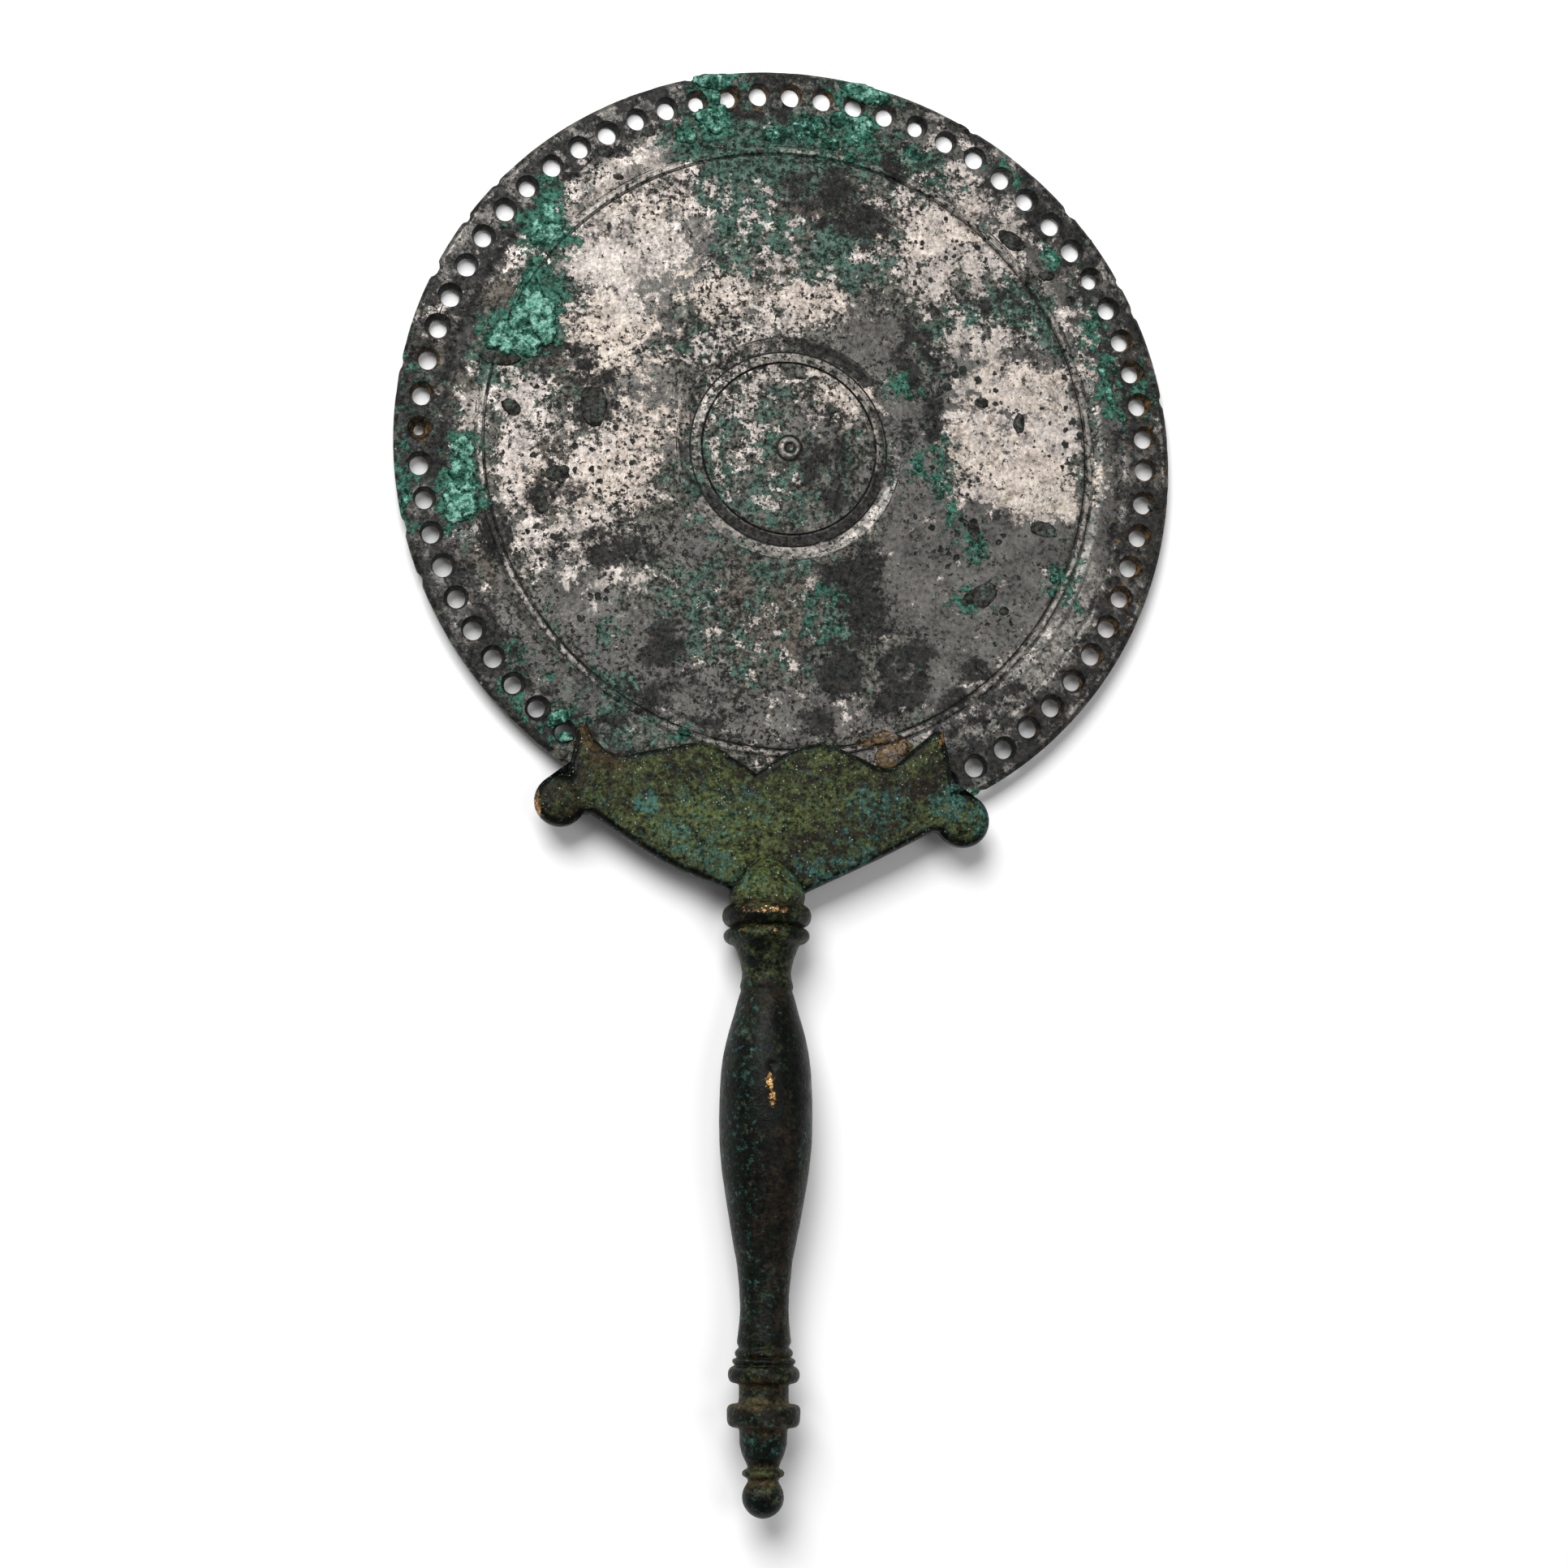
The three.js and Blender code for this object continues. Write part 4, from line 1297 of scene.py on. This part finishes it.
SOLDER_LUMPS = (
    Patch(15.6, -49.0, 2.1, 1.7, 20, 0.7), Patch(15.4, -46.2, 2.4, 1.0, 10, 0.35),
    Patch(18.6, -47.4, 1.3, 1.6, -35, 0.4), Patch(12.4, -47.0, 1.4, 0.7, 0, 0.3),
)


# ---- the handle ----------------------------------------------------------------------------------

# Where the bracket's lower edges meet, under the shaft's upper ring: down from the disc's centre.
UNDER_RING = 74.6

def bead(centre: float, half_width: float, foot: float, crest: float, count: int = 18) -> np.ndarray:
    """Half-round bead on a turned profile, from its near foot over the crest to the far one."""
    turn = np.linspace(0, math.pi, count)
    return np.stack([centre - half_width * np.cos(turn), foot + (crest - foot) * np.sin(turn)], axis=-1)


@dataclass(frozen=True)
class Wing:
    """One wing of the bracket, as places across from the shaft's axis and down from the disc's
    centre, in mm: the crest that stands out against the disc, the horn, the round pad and the
    lower edge back to the shaft."""

    side: int
    crest: Stations
    horn_tip: tuple[float, float]
    tip_radius: float
    outer: Stations
    pad: tuple[float, float]
    pad_radius: float
    under: Stations

    def arc(self, centre: tuple[float, float], radius: float, start: float, end: float,
            count: int) -> np.ndarray:
        """An arc, with its angles measured from outwards to upwards.

        Args:
            centre: its middle, across and down.
            radius: its radius, in mm.
            start: the first angle, in degrees.
            end: the last angle, in degrees.
            count: how many points to return.

        Returns:
            Points (count, 2).
        """
        angle = np.radians(np.linspace(start, end, count))
        across = self.side * (centre[0] + radius * np.cos(angle))
        return np.stack([across, radius * np.sin(angle) - centre[1]], axis=-1)

    def at(self, stations: Stations) -> list[tuple[float, float]]:
        """Stations as x and y."""
        return [(self.side * across, -down) for across, down in stations]

    def edges(self, notch: tuple[float, float], spans: tuple[int, ...]) -> tuple[np.ndarray, np.ndarray]:
        """The wing's two edges as matching rows of points, from the shaft out to the horn's tip.

        Args:
            notch: where the two crests meet, across and down.
            spans: how many points each of the four matched stretches takes.

        Returns:
            The crest's points and the lower edge's points (n, 2), with n the sum of spans.
        """
        tip = self.arc(self.horn_tip, self.tip_radius, 140, 60, 12)
        crest = through([(notch[0], -notch[1]), *self.at(self.crest), tuple(tip[0])], 240)
        fall, dip, inner = (np.linalg.norm(crest - np.array(station), axis=1).argmin()
                            for station in self.at(self.crest)[2:])
        upper = (crest[:fall + 1], crest[fall:dip + 1], crest[dip:inner + 1],
                 np.concatenate([crest[inner:], tip[1:]]))
        pad = self.arc(self.pad, self.pad_radius, 120, -150, 90)
        heel, belly, root = self.at(self.under)
        sweep = through([heel, belly, root], 60)
        tail = np.array([(0.0, -UNDER_RING)])
        cap = self.arc(self.horn_tip, self.tip_radius, 60, -10, 10)
        outer = through([tuple(cap[-1]), *self.at(self.outer)], 40)
        lower = (np.concatenate([sweep[24:], tail])[::-1], sweep[:25][::-1], pad[::-1],
                 np.concatenate([cap[:-1], outer])[::-1])
        crest_rows = [even_steps(part, count + 1)[:-1] for part, count in zip(upper, spans)]
        lower_rows = [even_steps(part, count + 1)[:-1] for part, count in zip(lower, spans)]
        return (np.concatenate([*crest_rows, upper[-1][-1:]]),
                np.concatenate([*lower_rows, lower[-1][-1:]]))


# The two wings differ a little, as freehand work does.
LEFT_WING = Wing(
    -1, ((5.4, 50.4), (9.9, 48.1), (15.8, 49.0), (23.6, 50.3), (27.2, 47.9)), (28.9, 46.4), 0.95,
    ((30.3, 49.6), (31.2, 53.4)), (32.3, 57.9), 4.0, ((27.9, 59.6), (16.2, 67.0), (5.6, 71.2)),
)
RIGHT_WING = Wing(
    1, ((3.0, 49.3), (8.7, 47.7), (13.8, 49.4), (19.0, 51.3), (23.3, 48.0)), (27.1, 46.2), 1.1,
    ((28.9, 49.4), (29.4, 53.4)), (31.1, 59.3), 4.2, ((26.6, 61.0), (17.0, 66.0), (6.6, 71.0)),
)

# Dull green-black film along the shaft.
MOSS = (
    Patch(-9, -110, 2, 9, 0, 0.75), Patch(-8.5, -90, 3, 7, 0, 0.8), Patch(2, -112, 2, 9, 5, 0.75),
    Patch(-3, -126, 5, 9, 0, 0.6), Patch(-4, -81, 5, 4, 0, 0.7), Patch(-4, -147.5, 5, 2.5, 0, 0.9),
    Patch(-4, -155, 5, 3), Patch(-4, -163, 3.5, 3.5, 0, 0.6), Patch(-7, -136, 3, 6, 0, 0.6),
    Patch(0, -98, 4, 8, 0, 0.5), Patch(-4, -160, 4, 1.5, 0, 0.9),
)

# The bracket's olive film, and where it runs on down the shaft.
OLIVE = (
    Patch(-3.6, -57, 40, 14), Patch(-4, -70, 8, 4), Patch(-4, -80, 3, 4, 0, 0.4),
    Patch(-4, -147.6, 5, 1.2, 0, 0.6),
)
SHAFT_OLIVE = (
    Patch(-4, -82, 6, 4, 0, 0.42), Patch(-8, -89, 2, 3, 0, 0.2), Patch(-4, -147.4, 5, 2, 0, 0.4),
    Patch(-4, -75.5, 8, 2, 0, 0.3), Patch(-6, -136, 3, 6, 0, 0.1), Patch(-4, -159.5, 4, 1.5, 0, 0.4),
    Patch(-4, -142, 5, 1.2, 0, 0.3),
)

# Brown oxide.
UMBER = (
    Patch(-28.6, -51.5, 5, 3, 0, 0.9), Patch(-36, -58, 5, 5, 0, 0.75), Patch(17, -54, 9, 4, 0, 0.75),
    Patch(10, -62, 9, 3.4, 20, 0.8), Patch(22, -51, 3, 4, 0, 0.75), Patch(-4, -55, 7, 3, 0, 0.6),
    Patch(-16, -52, 7, 2.5, 0, 0.7), Patch(-1, -118, 4, 8, 0, 0.6), Patch(0, -134, 3, 8, 0, 0.5),
    Patch(-3.7, -151, 4, 2, 0, 0.6), Patch(-4, -86.6, 5, 1, 0, 0.7), Patch(2, -65, 4, 2.5, 30, 0.9),
    Patch(-9, -56, 3, 2, 0, 0.6), Patch(-24, -56, 4, 2.5, 0, 0.6),
)

# Yellow-green flecks, densest on the wings' crests.
LIME = (
    Patch(-14, -56, 13, 6, 0, 0.42), Patch(6, -54, 8, 6, 0, 0.36), Patch(0, -61, 13, 5, 0, 0.32),
    Patch(-30.2, -47.0, 2.6, 0.8, -53, 1.2), Patch(-17, -48.6, 6, 0.7, 0, 0.6),
    Patch(19, -50, 3, 4, -30, 0.45), Patch(-33, -57, 4, 4, 0, 0.32), Patch(-5, -69.5, 6, 4, 0, 0.46),
    Patch(-25.6, -49.0, 3.6, 0.9, 0, 1.2), Patch(20, -60, 7, 3, 25, 0.24), Patch(-4, -57, 40, 14, 0, 0.2),
)

# Blue-green flecks on the bracket, and those on the shaft and the pommel.
TEAL = (
    Patch(-23, -59, 1.8, 1.4, 0, 0.56), Patch(-17.5, -63.5, 4, 2, -40, 0.42),
    Patch(-11, -59, 6, 4, 0, 0.28), Patch(-13, -66.5, 6, 2, -30, 0.42),
    Patch(13.5, -57, 3.4, 1.6, 0, 0.42), Patch(12, -61, 4, 1.2, 10, 0.3), Patch(6, -67, 5, 1.6, 20, 0.4),
    Patch(24.4, -57, 2, 2.2, -20, 0.52), Patch(30.5, -59.5, 2.6, 3, 0, 0.42),
    Patch(-4, -57, 40, 14, 0, 0.12),
)
SHAFT_TEAL = (
    Patch(-4, -154.8, 4, 1.8, 0, 0.26), Patch(-9, -90, 2, 7, 0, 0.2), Patch(-9, -112, 2, 9, 0, 0.16),
    Patch(3, -116, 2, 6, 0, 0.2), Patch(-4, -163, 3, 2, 0, 0.14), Patch(-7, -150.5, 3, 1.6, 0, 0.2),
    Patch(-7, -131, 2, 4, 0, 0.18), Patch(-4.5, -135, 2, 4, 0, 0.14),
)

# Earth in the grooves and beside the left horn.
EARTH = (
    Patch(-28.6, -51.5, 2.5, 1.6, 0, 0.42), Patch(-31.9, -48.6, 0.8, 2.2, 12, 0.62),
    Patch(-4, -146.3, 6, 0.4, 0, 0.5), Patch(-4, -149.0, 6, 0.4, 0, 0.5),
    Patch(-4, -160.5, 4, 0.5, 0, 0.7), Patch(-4, -73.2, 7, 0.2, 0, 0.3),
    Patch(-4, -152.9, 5, 0.4, 0, 0.5),
)

# Bronze rubbed bare on the high points, painted bright there as glints: partly wear, partly painted
# highlights.
WEAR_AND_GLINTS = (
    Patch(-4.2, -74.7, 1.7, 0.25, 0, 0.5), Patch(-4.6, -77.5, 1.5, 0.3, 0, 0.3),
    Patch(-4.3, -100.8, 0.35, 1.1, -10, 0.7), Patch(-4.0, -103.4, 0.4, 0.9, 15, 0.6),
    Patch(-4.6, -150.6, 0.8, 0.9, 0, 0.22), Patch(-39.4, -58.5, 0.3, 1.2, 10, 0.6),
    Patch(24.0, -46.4, 0.35, 1.0, -15, 0.55), Patch(-31.7, -48.6, 0.5, 1.6, 10, 0.16),
    Patch(-4.0, -141.6, 1.6, 0.2, 0, 0.2),
)


@dataclass(frozen=True)
class Handle:
    """The handle, one casting: a winged bracket on the disc's back and a turned baluster shaft.

    Sizes are in mm. The shaft's axis runs beside the disc's centre, above its back.
    """

    offset: float = -3.65
    drift: float = -0.22
    gap: float = 0.3
    plate: float = 3.0
    edge_round: float = 1.15
    notch: tuple[float, float] = (-1.8, 52.7)
    pad_thickness: float = 4.6
    nose_tip: float = 64.9
    nose_base: float = 72.0
    nose_radius: float = 5.95
    nose_arch: float = 1.8
    rest_ring: tuple[float, float] = (75.0, 6.95)
    rest_flat: float = 0.3
    ball: tuple[float, float] = (162.85, 3.17)

    # A small dent on the grip: its place across and down, and its depth.
    dent: tuple[float, float] = (-0.2, 98.5)
    dent_depth: float = 0.3

    # How far casting and filing have left the shaft from true: in broad and fine waves of its
    # radius, and along its axis in its grooves.
    broad_wave: float = 0.1
    fine_wave: float = 0.07
    groove_sway: float = 0.12

    shaft_rows: int = 400
    shaft_columns: int = 132
    spans: tuple[int, ...] = (44, 20, 56, 34)
    top_rows: int = 60
    under_rows: int = 22
    crisp_angle: float = 60.0

    @property
    def axis_height(self) -> float:
        """Height of the shaft's axis over the disc's back: the middle of the bracket's plate."""
        return self.gap + self.plate / 2

    def shaft_profile(self) -> np.ndarray:
        """Turned profile as distance down from the disc's centre and radius: round nose, two
        rings, waisted neck, swelling grip, and a pommel of beads, drum, vase, small ring and ball.

        Returns:
            Stations (rows, 2), with their corners softened.
        """
        quarter = np.linspace(0, math.pi / 2, 24)
        ahead = np.cos(quarter)
        nose = np.stack([self.nose_base - (self.nose_base - self.nose_tip) * ahead,
                         self.nose_radius * (1 - ahead ** self.nose_arch)], axis=-1)
        centre, radius = self.ball
        turn = math.pi * np.linspace(0.28, 1, 40)
        ball = np.stack([centre - radius * np.cos(turn), radius * np.sin(turn)], axis=-1)
        station, crest = self.rest_ring
        parts = [
            nose, bead(station, 1.65, 5.7, crest), bead(78.1, 1.25, 5.3, 6.7),
            through([(79.7, 5.0), (81.5, 4.3), (83.9, 3.8), (86.0, 4.2)], 20), [(86.55, 3.92)],
            through([(86.9, 4.12), (89.8, 4.9), (94.1, 6.12), (98.9, 6.92), (105.0, 7.13), (112.5, 6.83),
                     (121.0, 5.5), (128.5, 4.14), (135.0, 3.7), (140.0, 4.14)], 120),
            [(140.6, 3.75)], bead(141.5, 0.65, 3.95, 4.45), bead(142.75, 0.5, 4.3, 4.85),
            bead(144.75, 1.25, 4.6, 5.48), [(146.15, 3.8), (149.0, 3.8)],
            [(149.1, 4.9), (149.35, 5.4), (149.8, 5.6), (151.6, 5.56), (152.2, 5.35), (152.5, 4.9)],
            [(152.7, 3.65), (155.0, 3.6), (156.7, 3.15), (158.5, 2.35)], bead(159.35, 0.6, 2.6, 3.28),
            [(160.4, 2.25)], ball,
        ]
        path = even_steps(np.concatenate([np.array(part, float) for part in parts]), self.shaft_rows)
        path[1:-1] = (path[:-2] + 2 * path[1:-1] + path[2:]) / 4
        path[[0, -1], 1] = 0.0
        return path

    def axis_at(self, down: np.ndarray) -> np.ndarray:
        """How far across the shaft's axis lies: it leans a little to one side towards the pommel."""
        return self.offset + self.drift * blend(90, 160, down)

    def shaft(self) -> tuple[np.ndarray, np.ndarray]:
        """The shaft: its profile carried round its axis, a little uneven as cast and filed work is,
        and cut level where the upper ring rests.

        Returns:
            Points (rows, columns, 3), and how hollow the profile is there, from 0 to 1.
        """
        down, radius = self.shaft_profile().T
        turn = 2 * math.pi * np.arange(self.shaft_columns) / self.shaft_columns
        axis = self.axis_at(down)[:, None]
        sine, cosine, along = np.broadcast_arrays(np.sin(turn), np.cos(turn), -down[:, None])
        girth = np.maximum(radius, 1.0)[:, None]
        places = np.stack([sine * girth, along, cosine * girth], axis=-1)
        uneven = self.broad_wave * noise(places, 14.0, 41, octaves=2)
        uneven = uneven + self.fine_wave * noise(places, 2.6, 42, octaves=3)
        from_dent = np.hypot(places[..., 0] - self.dent[0], along + self.dent[1])
        dent = self.dent_depth * (1 - blend(0.3, 1.1, from_dent)) * (cosine > 0)
        fade = np.clip(radius / 1.5, 0, 1)[:, None]
        reach = radius[:, None] + (uneven - dent) * fade
        shift = self.groove_sway * noise(places, 5.0, 43, octaves=2) * fade
        points = np.stack([axis + reach * sine, along + shift, self.axis_height + reach * cosine], axis=-1)
        lowest = self.axis_height - self.rest_ring[1] + self.rest_flat
        points[..., 2] = np.maximum(points[..., 2], lowest)
        smooth = np.convolve(np.pad(radius, 9, mode="edge"), np.ones(19) / 19, mode="valid")
        hollow = blend(0.1, 0.5, smooth - radius)[:, None] + 0 * turn
        return points, hollow

    def plate_outline(self) -> tuple[np.ndarray, np.ndarray]:
        """The bracket's crest and lower edge as matching rows of points, from the left horn's tip
        to the right one's, in the mirror's frame.

        Returns:
            The crest's points and the lower edge's (n, 2).
        """
        left = LEFT_WING.edges(self.notch, self.spans)
        right = RIGHT_WING.edges(self.notch, self.spans)
        crest, lower = (np.concatenate([one[::-1], other[1:]]) for one, other in zip(left, right))
        return crest + np.array([self.offset, 0]), lower + np.array([self.offset, 0])

    def bracket(self) -> tuple[np.ndarray, np.ndarray, np.ndarray]:
        """The bracket: straight lines from its crest to its lower edge, closely set near both. Each
        point's height follows from its distance to the outline as a quarter round, the pads swell
        above it, and the shaft's nose runs out of it over a fillet.

        Returns:
            The upper and lower faces' points (rows, columns, 3), and the upper face's distance
            from the outline.
        """
        crest, lower = self.plate_outline()
        outline = np.concatenate([crest, lower[::-1]])
        faces = []
        for rows, rounding in ((self.top_rows, self.edge_round), (self.under_rows, 0.7)):
            share = (0.5 - 0.5 * np.cos(np.linspace(0, math.pi, rows)))[:, None, None]
            flat = crest * (1 - share) + lower * share
            gaps = np.stack([np.hypot(flat[..., 0] - x, flat[..., 1] - y) for x, y in outline])
            inside = gaps.min(axis=0)
            inside[[0, -1]] = 0.0
            inside[:, [0, -1]] = 0.0
            faces.append((flat, inside, rounding))
        heights = []
        for (flat, inside, rounding), upward in zip(faces, (1, -1)):
            horn = blend(-52.0, -48.5, flat[..., 1]) * blend(24.0, 27.0, np.abs(flat[..., 0] - self.offset))
            full = 1 - np.clip(inside / (rounding * (1 + 0.9 * horn)), 0, 1)
            rise = self.plate / 2 * np.sqrt(1 - full ** 2)
            if upward > 0:
                rise = rise + 0.12 * blend(0.5, 5.0, inside)
            for wing in (LEFT_WING, RIGHT_WING):
                across = flat[..., 0] - self.offset - wing.side * wing.pad[0]
                out = np.hypot(across, flat[..., 1] + wing.pad[1]) / (0.98 * wing.pad_radius)
                swell = self.pad_thickness / 2 * np.sqrt(np.clip(1 - out ** 2, 0, 1))
                limit = swell if upward > 0 else np.minimum(swell, 1.5)
                filled = round_max(limit, rise, 0.35 * np.minimum(inside, 1) + 1e-6)
                rise = np.where(out < 1, filled, rise)
            if upward > 0:
                rise = self.with_nose(flat, rise)
            heights.append(self.axis_height + upward * rise)
        upper, under = (np.concatenate([flat, height[..., None]], axis=-1)
                        for (flat, _, _), height in zip(faces, heights))
        places = upper * np.array([1.0, 1.0, 0.0])
        uneven = 0.1 * noise(places, 9.0, 51, octaves=2) + 0.05 * noise(places, 1.6, 52, octaves=3)
        upper[..., 2] += uneven * blend(0.0, 1.5, faces[0][1])
        return upper, under, faces[0][1]

    def nose_width(self, flat: np.ndarray) -> np.ndarray:
        """Radius of the shaft's nose, a pointed arch seen from above, at flat places."""
        ahead = np.clip((self.nose_base + flat[..., 1]) / (self.nose_base - self.nose_tip), 0, 1)
        return self.nose_radius * (1 - ahead ** self.nose_arch)

    def nose_foot(self, flat: np.ndarray, spread: float) -> np.ndarray:
        """How near the line where the nose stands on the plate each place is: a bell over the
        distance across from it.

        Args:
            flat: places on the plate (..., 2).
            spread: how soon it falls off, in mm.

        Returns:
            Values from 0 to 1.
        """
        level = self.plate / 2
        reach = np.sqrt(np.clip(self.nose_width(flat) ** 2 - level ** 2, 0, None))
        past = np.abs(flat[..., 0] - self.offset) - reach - 0.3 * spread
        return np.exp(-(past / spread) ** 2) * blend(-64.6, -66.2, flat[..., 1])

    def with_nose(self, flat: np.ndarray, rise: np.ndarray) -> np.ndarray:
        """Raises the plate to just under the nose of the shaft, with a crease round its foot.

        Args:
            flat: places on the plate (..., 2).
            rise: the plate's height there over the axis.

        Returns:
            The height with the nose, in mm over the axis.
        """
        across = flat[..., 0] - self.offset
        nose = np.sqrt(np.clip(self.nose_width(flat) ** 2 - across ** 2, 0, None)) - 0.3
        ahead = np.maximum(flat[..., 1] + self.nose_tip + 5, 0)
        near = blend(2.2, 1.0, np.hypot(across, ahead) / self.nose_radius)
        near = near * blend(-73.0, -71.5, flat[..., 1])
        raised = round_max(nose, rise, 0.3 * near + 1e-6) - 0.45 * near * self.nose_foot(flat, 0.6)
        return np.where(near > 0, raised, rise)

    def coats(self, points: np.ndarray, edge: np.ndarray, hollow: np.ndarray) -> dict[str, np.ndarray]:
        """Coverage of each film on the handle.

        Args:
            points: places in mm (n, 3).
            edge: 1 on the bracket's rounded edges, 0 elsewhere (n).
            hollow: 1 in the grooves of the shaft (n).

        Returns:
            Film labels, to one value for each point.
        """
        top = blend(-1.2, 0.3, points[:, 2] - self.axis_height)
        plate = blend(-74.0, -72.4, points[:, 1])
        # The crease round the nose's foot, which the edge film darkens as painted shade.
        foot = top * plate * self.nose_foot(points[:, :2], 0.55)
        brown = coverage(UMBER, points, 62)
        bright = coverage(LIME, points, 63, wander=0.5, slope=0.25)
        return {
            "moss": np.maximum(coverage(MOSS, points, 60), 0.5 + 0.4 * noise(points, 14.0, 59)),
            "olive": (plate * (coverage(OLIVE, points, 61) + 0.5)
                      + (1 - plate) * (coverage(SHAFT_OLIVE, points, 64, slope=0.2) + 0.5) - 0.5),
            "umber": np.maximum(brown, 0.06 + 0.3 * noise(points, 12.0, 58)),
            "lime": top * plate * (bright + 0.5 - 0.2 * edge - 0.4 * foot - 0.25 * brown) - 0.5,
            "teal": (plate * coverage(TEAL, points, 65, slope=0.25)
                     + (1 - plate) * coverage(SHAFT_TEAL, points, 66, slope=0.25) - 0.3 * foot),
            "earth": np.maximum(coverage(EARTH, points, 67, wander=0.3, slope=0.3), 0.45 * hollow),
            # Painted shade on the bracket's rounded edges and in the crease round the nose's foot.
            "edge": np.maximum(0.8 * edge, 0.8 * foot),
            # Pale specks on the upper side: partly dust, partly painted glints.
            "dust_and_glints": top * (0.12 + 0.5 * plate + 0.3 * noise(points, 7.0, 68)),
            # Partly wear, partly painted glints on the upper high points.
            "wear_and_glint": top * coverage(WEAR_AND_GLINTS, points, 69, wander=0.15, slope=0.6),
        }

    def build(self, lying: LyingFrame) -> bpy.types.Object:
        """Builds the handle.

        Args:
            lying: where the mirror lies.

        Returns:
            The piece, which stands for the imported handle.
        """
        shell = Shell()
        shaft, hollow = self.shaft()
        upper, under, inside = self.bracket()
        shell.sheet(shaft, around=True, flip=True)
        shell.sheet(upper, flip=True)
        shell.sheet(under)
        points, faces = shell.weld()
        # Marks for the bracket's rounded edges, which take painted shade, and for the shaft's grooves.
        marks = np.concatenate([
            np.stack([0 * hollow, hollow], axis=-1).reshape(-1, 2),
            np.stack([1 - blend(0.5, 1.9, inside), 0 * inside], axis=-1).reshape(-1, 2),
            np.stack([1 + 0 * under[..., 0], 0 * under[..., 0]], axis=-1).reshape(-1, 2),
        ])
        keys = np.round(np.concatenate(shell.points) / WELD_MM).astype(np.int64)
        _, first = np.unique(keys, axis=0, return_index=True)
        edge, groove = marks[first].T
        coats = self.coats(points, edge, groove)
        laid = (lying.place(points), faces)
        piece = make_piece("handle_bronze", laid, coats, HANDLE_FINISH,
                           self.crisp_angle)
        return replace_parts(piece, "handle")


# ---- floor, light and camera ---------------------------------------------------------------------

@dataclass(frozen=True)
class SoftLight:
    """A square soft light that faces the mirror: where it hangs and its side, in metres, and its
    power in watts."""

    name: str
    place: tuple[float, float, float]
    size: float
    watts: float

    def hang(self) -> None:
        """Hangs the light."""
        data = bpy.data.lights.new(self.name, "AREA")
        data.size = self.size
        data.energy = self.watts
        lamp = bpy.data.objects.new(self.name, data)
        lamp.location = self.place
        lamp.rotation_euler = Vector(self.place).to_track_quat("Z", "Y").to_euler()
        bpy.context.scene.collection.objects.link(lamp)


@dataclass(frozen=True)
class Studio:
    """A plain pale floor, a large soft light beyond the disc's upper left with a weak one at the
    right, even white surroundings, and a camera that looks down on the mirror.

    The camera's places and the floor's half side are in mm, the camera's in the mirror's frame.
    """

    eye: tuple[float, float, float] = (-87.6, -130.8, 493.6)
    aim: tuple[float, float, float] = (-0.7, -53.95, 0.0)
    roll: float = 0.18
    focal: float = 74.53
    sensor: float = 36.0
    sight: float = 20.0
    floor_half: float = 3000.0
    floor_colour: str = "fafafa"
    floor_roughness: float = 0.9
    surroundings: float = 0.18
    lights: tuple[SoftLight, ...] = (
        SoftLight("key", (-0.4, 0.68, 1.06), 0.8, 21.0),
        SoftLight("fill", (0.42, -0.05, 1.1), 0.5, 2.6),
    )

    def camera(self, lying: LyingFrame) -> None:
        """Sets up the camera, level with the mirror's X and turned by the roll in degrees.

        Args:
            lying: where the mirror lies.
        """
        ahead = (self.aim[0], self.aim[1] + 1000, 0.0)
        eye, aim, away = lying.place(np.array([self.eye, self.aim, ahead]))
        forward = Vector(aim - eye).normalized()
        right = forward.cross(Vector(away - aim)).normalized()
        up = right.cross(forward)
        level = Matrix((right, up, -forward)).transposed()
        turned = level @ Matrix.Rotation(math.radians(self.roll), 3, "Z")
        data = bpy.data.cameras.new("camera")
        data.lens = self.focal
        data.sensor_width = self.sensor
        data.clip_end = self.sight
        camera = bpy.data.objects.new("camera", data)
        camera.matrix_world = Matrix.Translation(Vector(eye)) @ turned.to_4x4()
        bpy.context.scene.collection.objects.link(camera)
        bpy.context.scene.camera = camera

    def floor(self) -> None:
        """Lays the floor, a square of matt white card."""
        half = self.floor_half * MM
        corners = [(-half, -half, 0), (half, -half, 0), (half, half, 0), (-half, half, 0)]
        mesh = bpy.data.meshes.new("floor")
        mesh.from_pydata(corners, [], [(0, 1, 2, 3)])
        material = bpy.data.materials.new("matt white card")
        material.use_nodes = True
        surface = material.node_tree.nodes["Principled BSDF"]
        surface.inputs["Base Color"].default_value = linear(self.floor_colour)
        surface.inputs["Roughness"].default_value = self.floor_roughness
        mesh.materials.append(material)
        floor = bpy.data.objects.new("floor", mesh)
        bpy.context.scene.collection.objects.link(floor)

    def build(self, lying: LyingFrame) -> None:
        """Sets up the floor, the lights, the surrounding light and the camera.

        Args:
            lying: where the mirror lies.
        """
        self.floor()
        for light in self.lights:
            light.hang()
        world = bpy.data.worlds.new("studio")
        world.use_nodes = True
        around = world.node_tree.nodes["Background"]
        around.inputs["Color"].default_value = linear("ffffff")
        around.inputs["Strength"].default_value = self.surroundings
        bpy.context.scene.world = world
        bpy.context.scene.view_settings.view_transform = "Standard"
        self.camera(lying)


def main() -> None:
    """Builds the mirror and its studio."""
    face = next(mount for mount in frame["record"]["mounts"] if mount["name"] == "polished_face")
    disc = MirrorDisc()
    lying = LyingFrame.from_face(face, disc.thickness)
    disc.build(lying)
    Crusts(Mineral.MALACHITE, MALACHITE_LUMPS).build(disc, lying)
    Crusts(Mineral.CUPRITE, CUPRITE_LUMPS, rows=14, columns=56, seed=120).build(disc, lying)
    Crusts(Mineral.SOLDER, SOLDER_LUMPS, rows=18, columns=72, seed=140).build(disc, lying)
    Handle().build(lying)
    Studio().build(lying)
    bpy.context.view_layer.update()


if __name__ == "__main__":
    main()
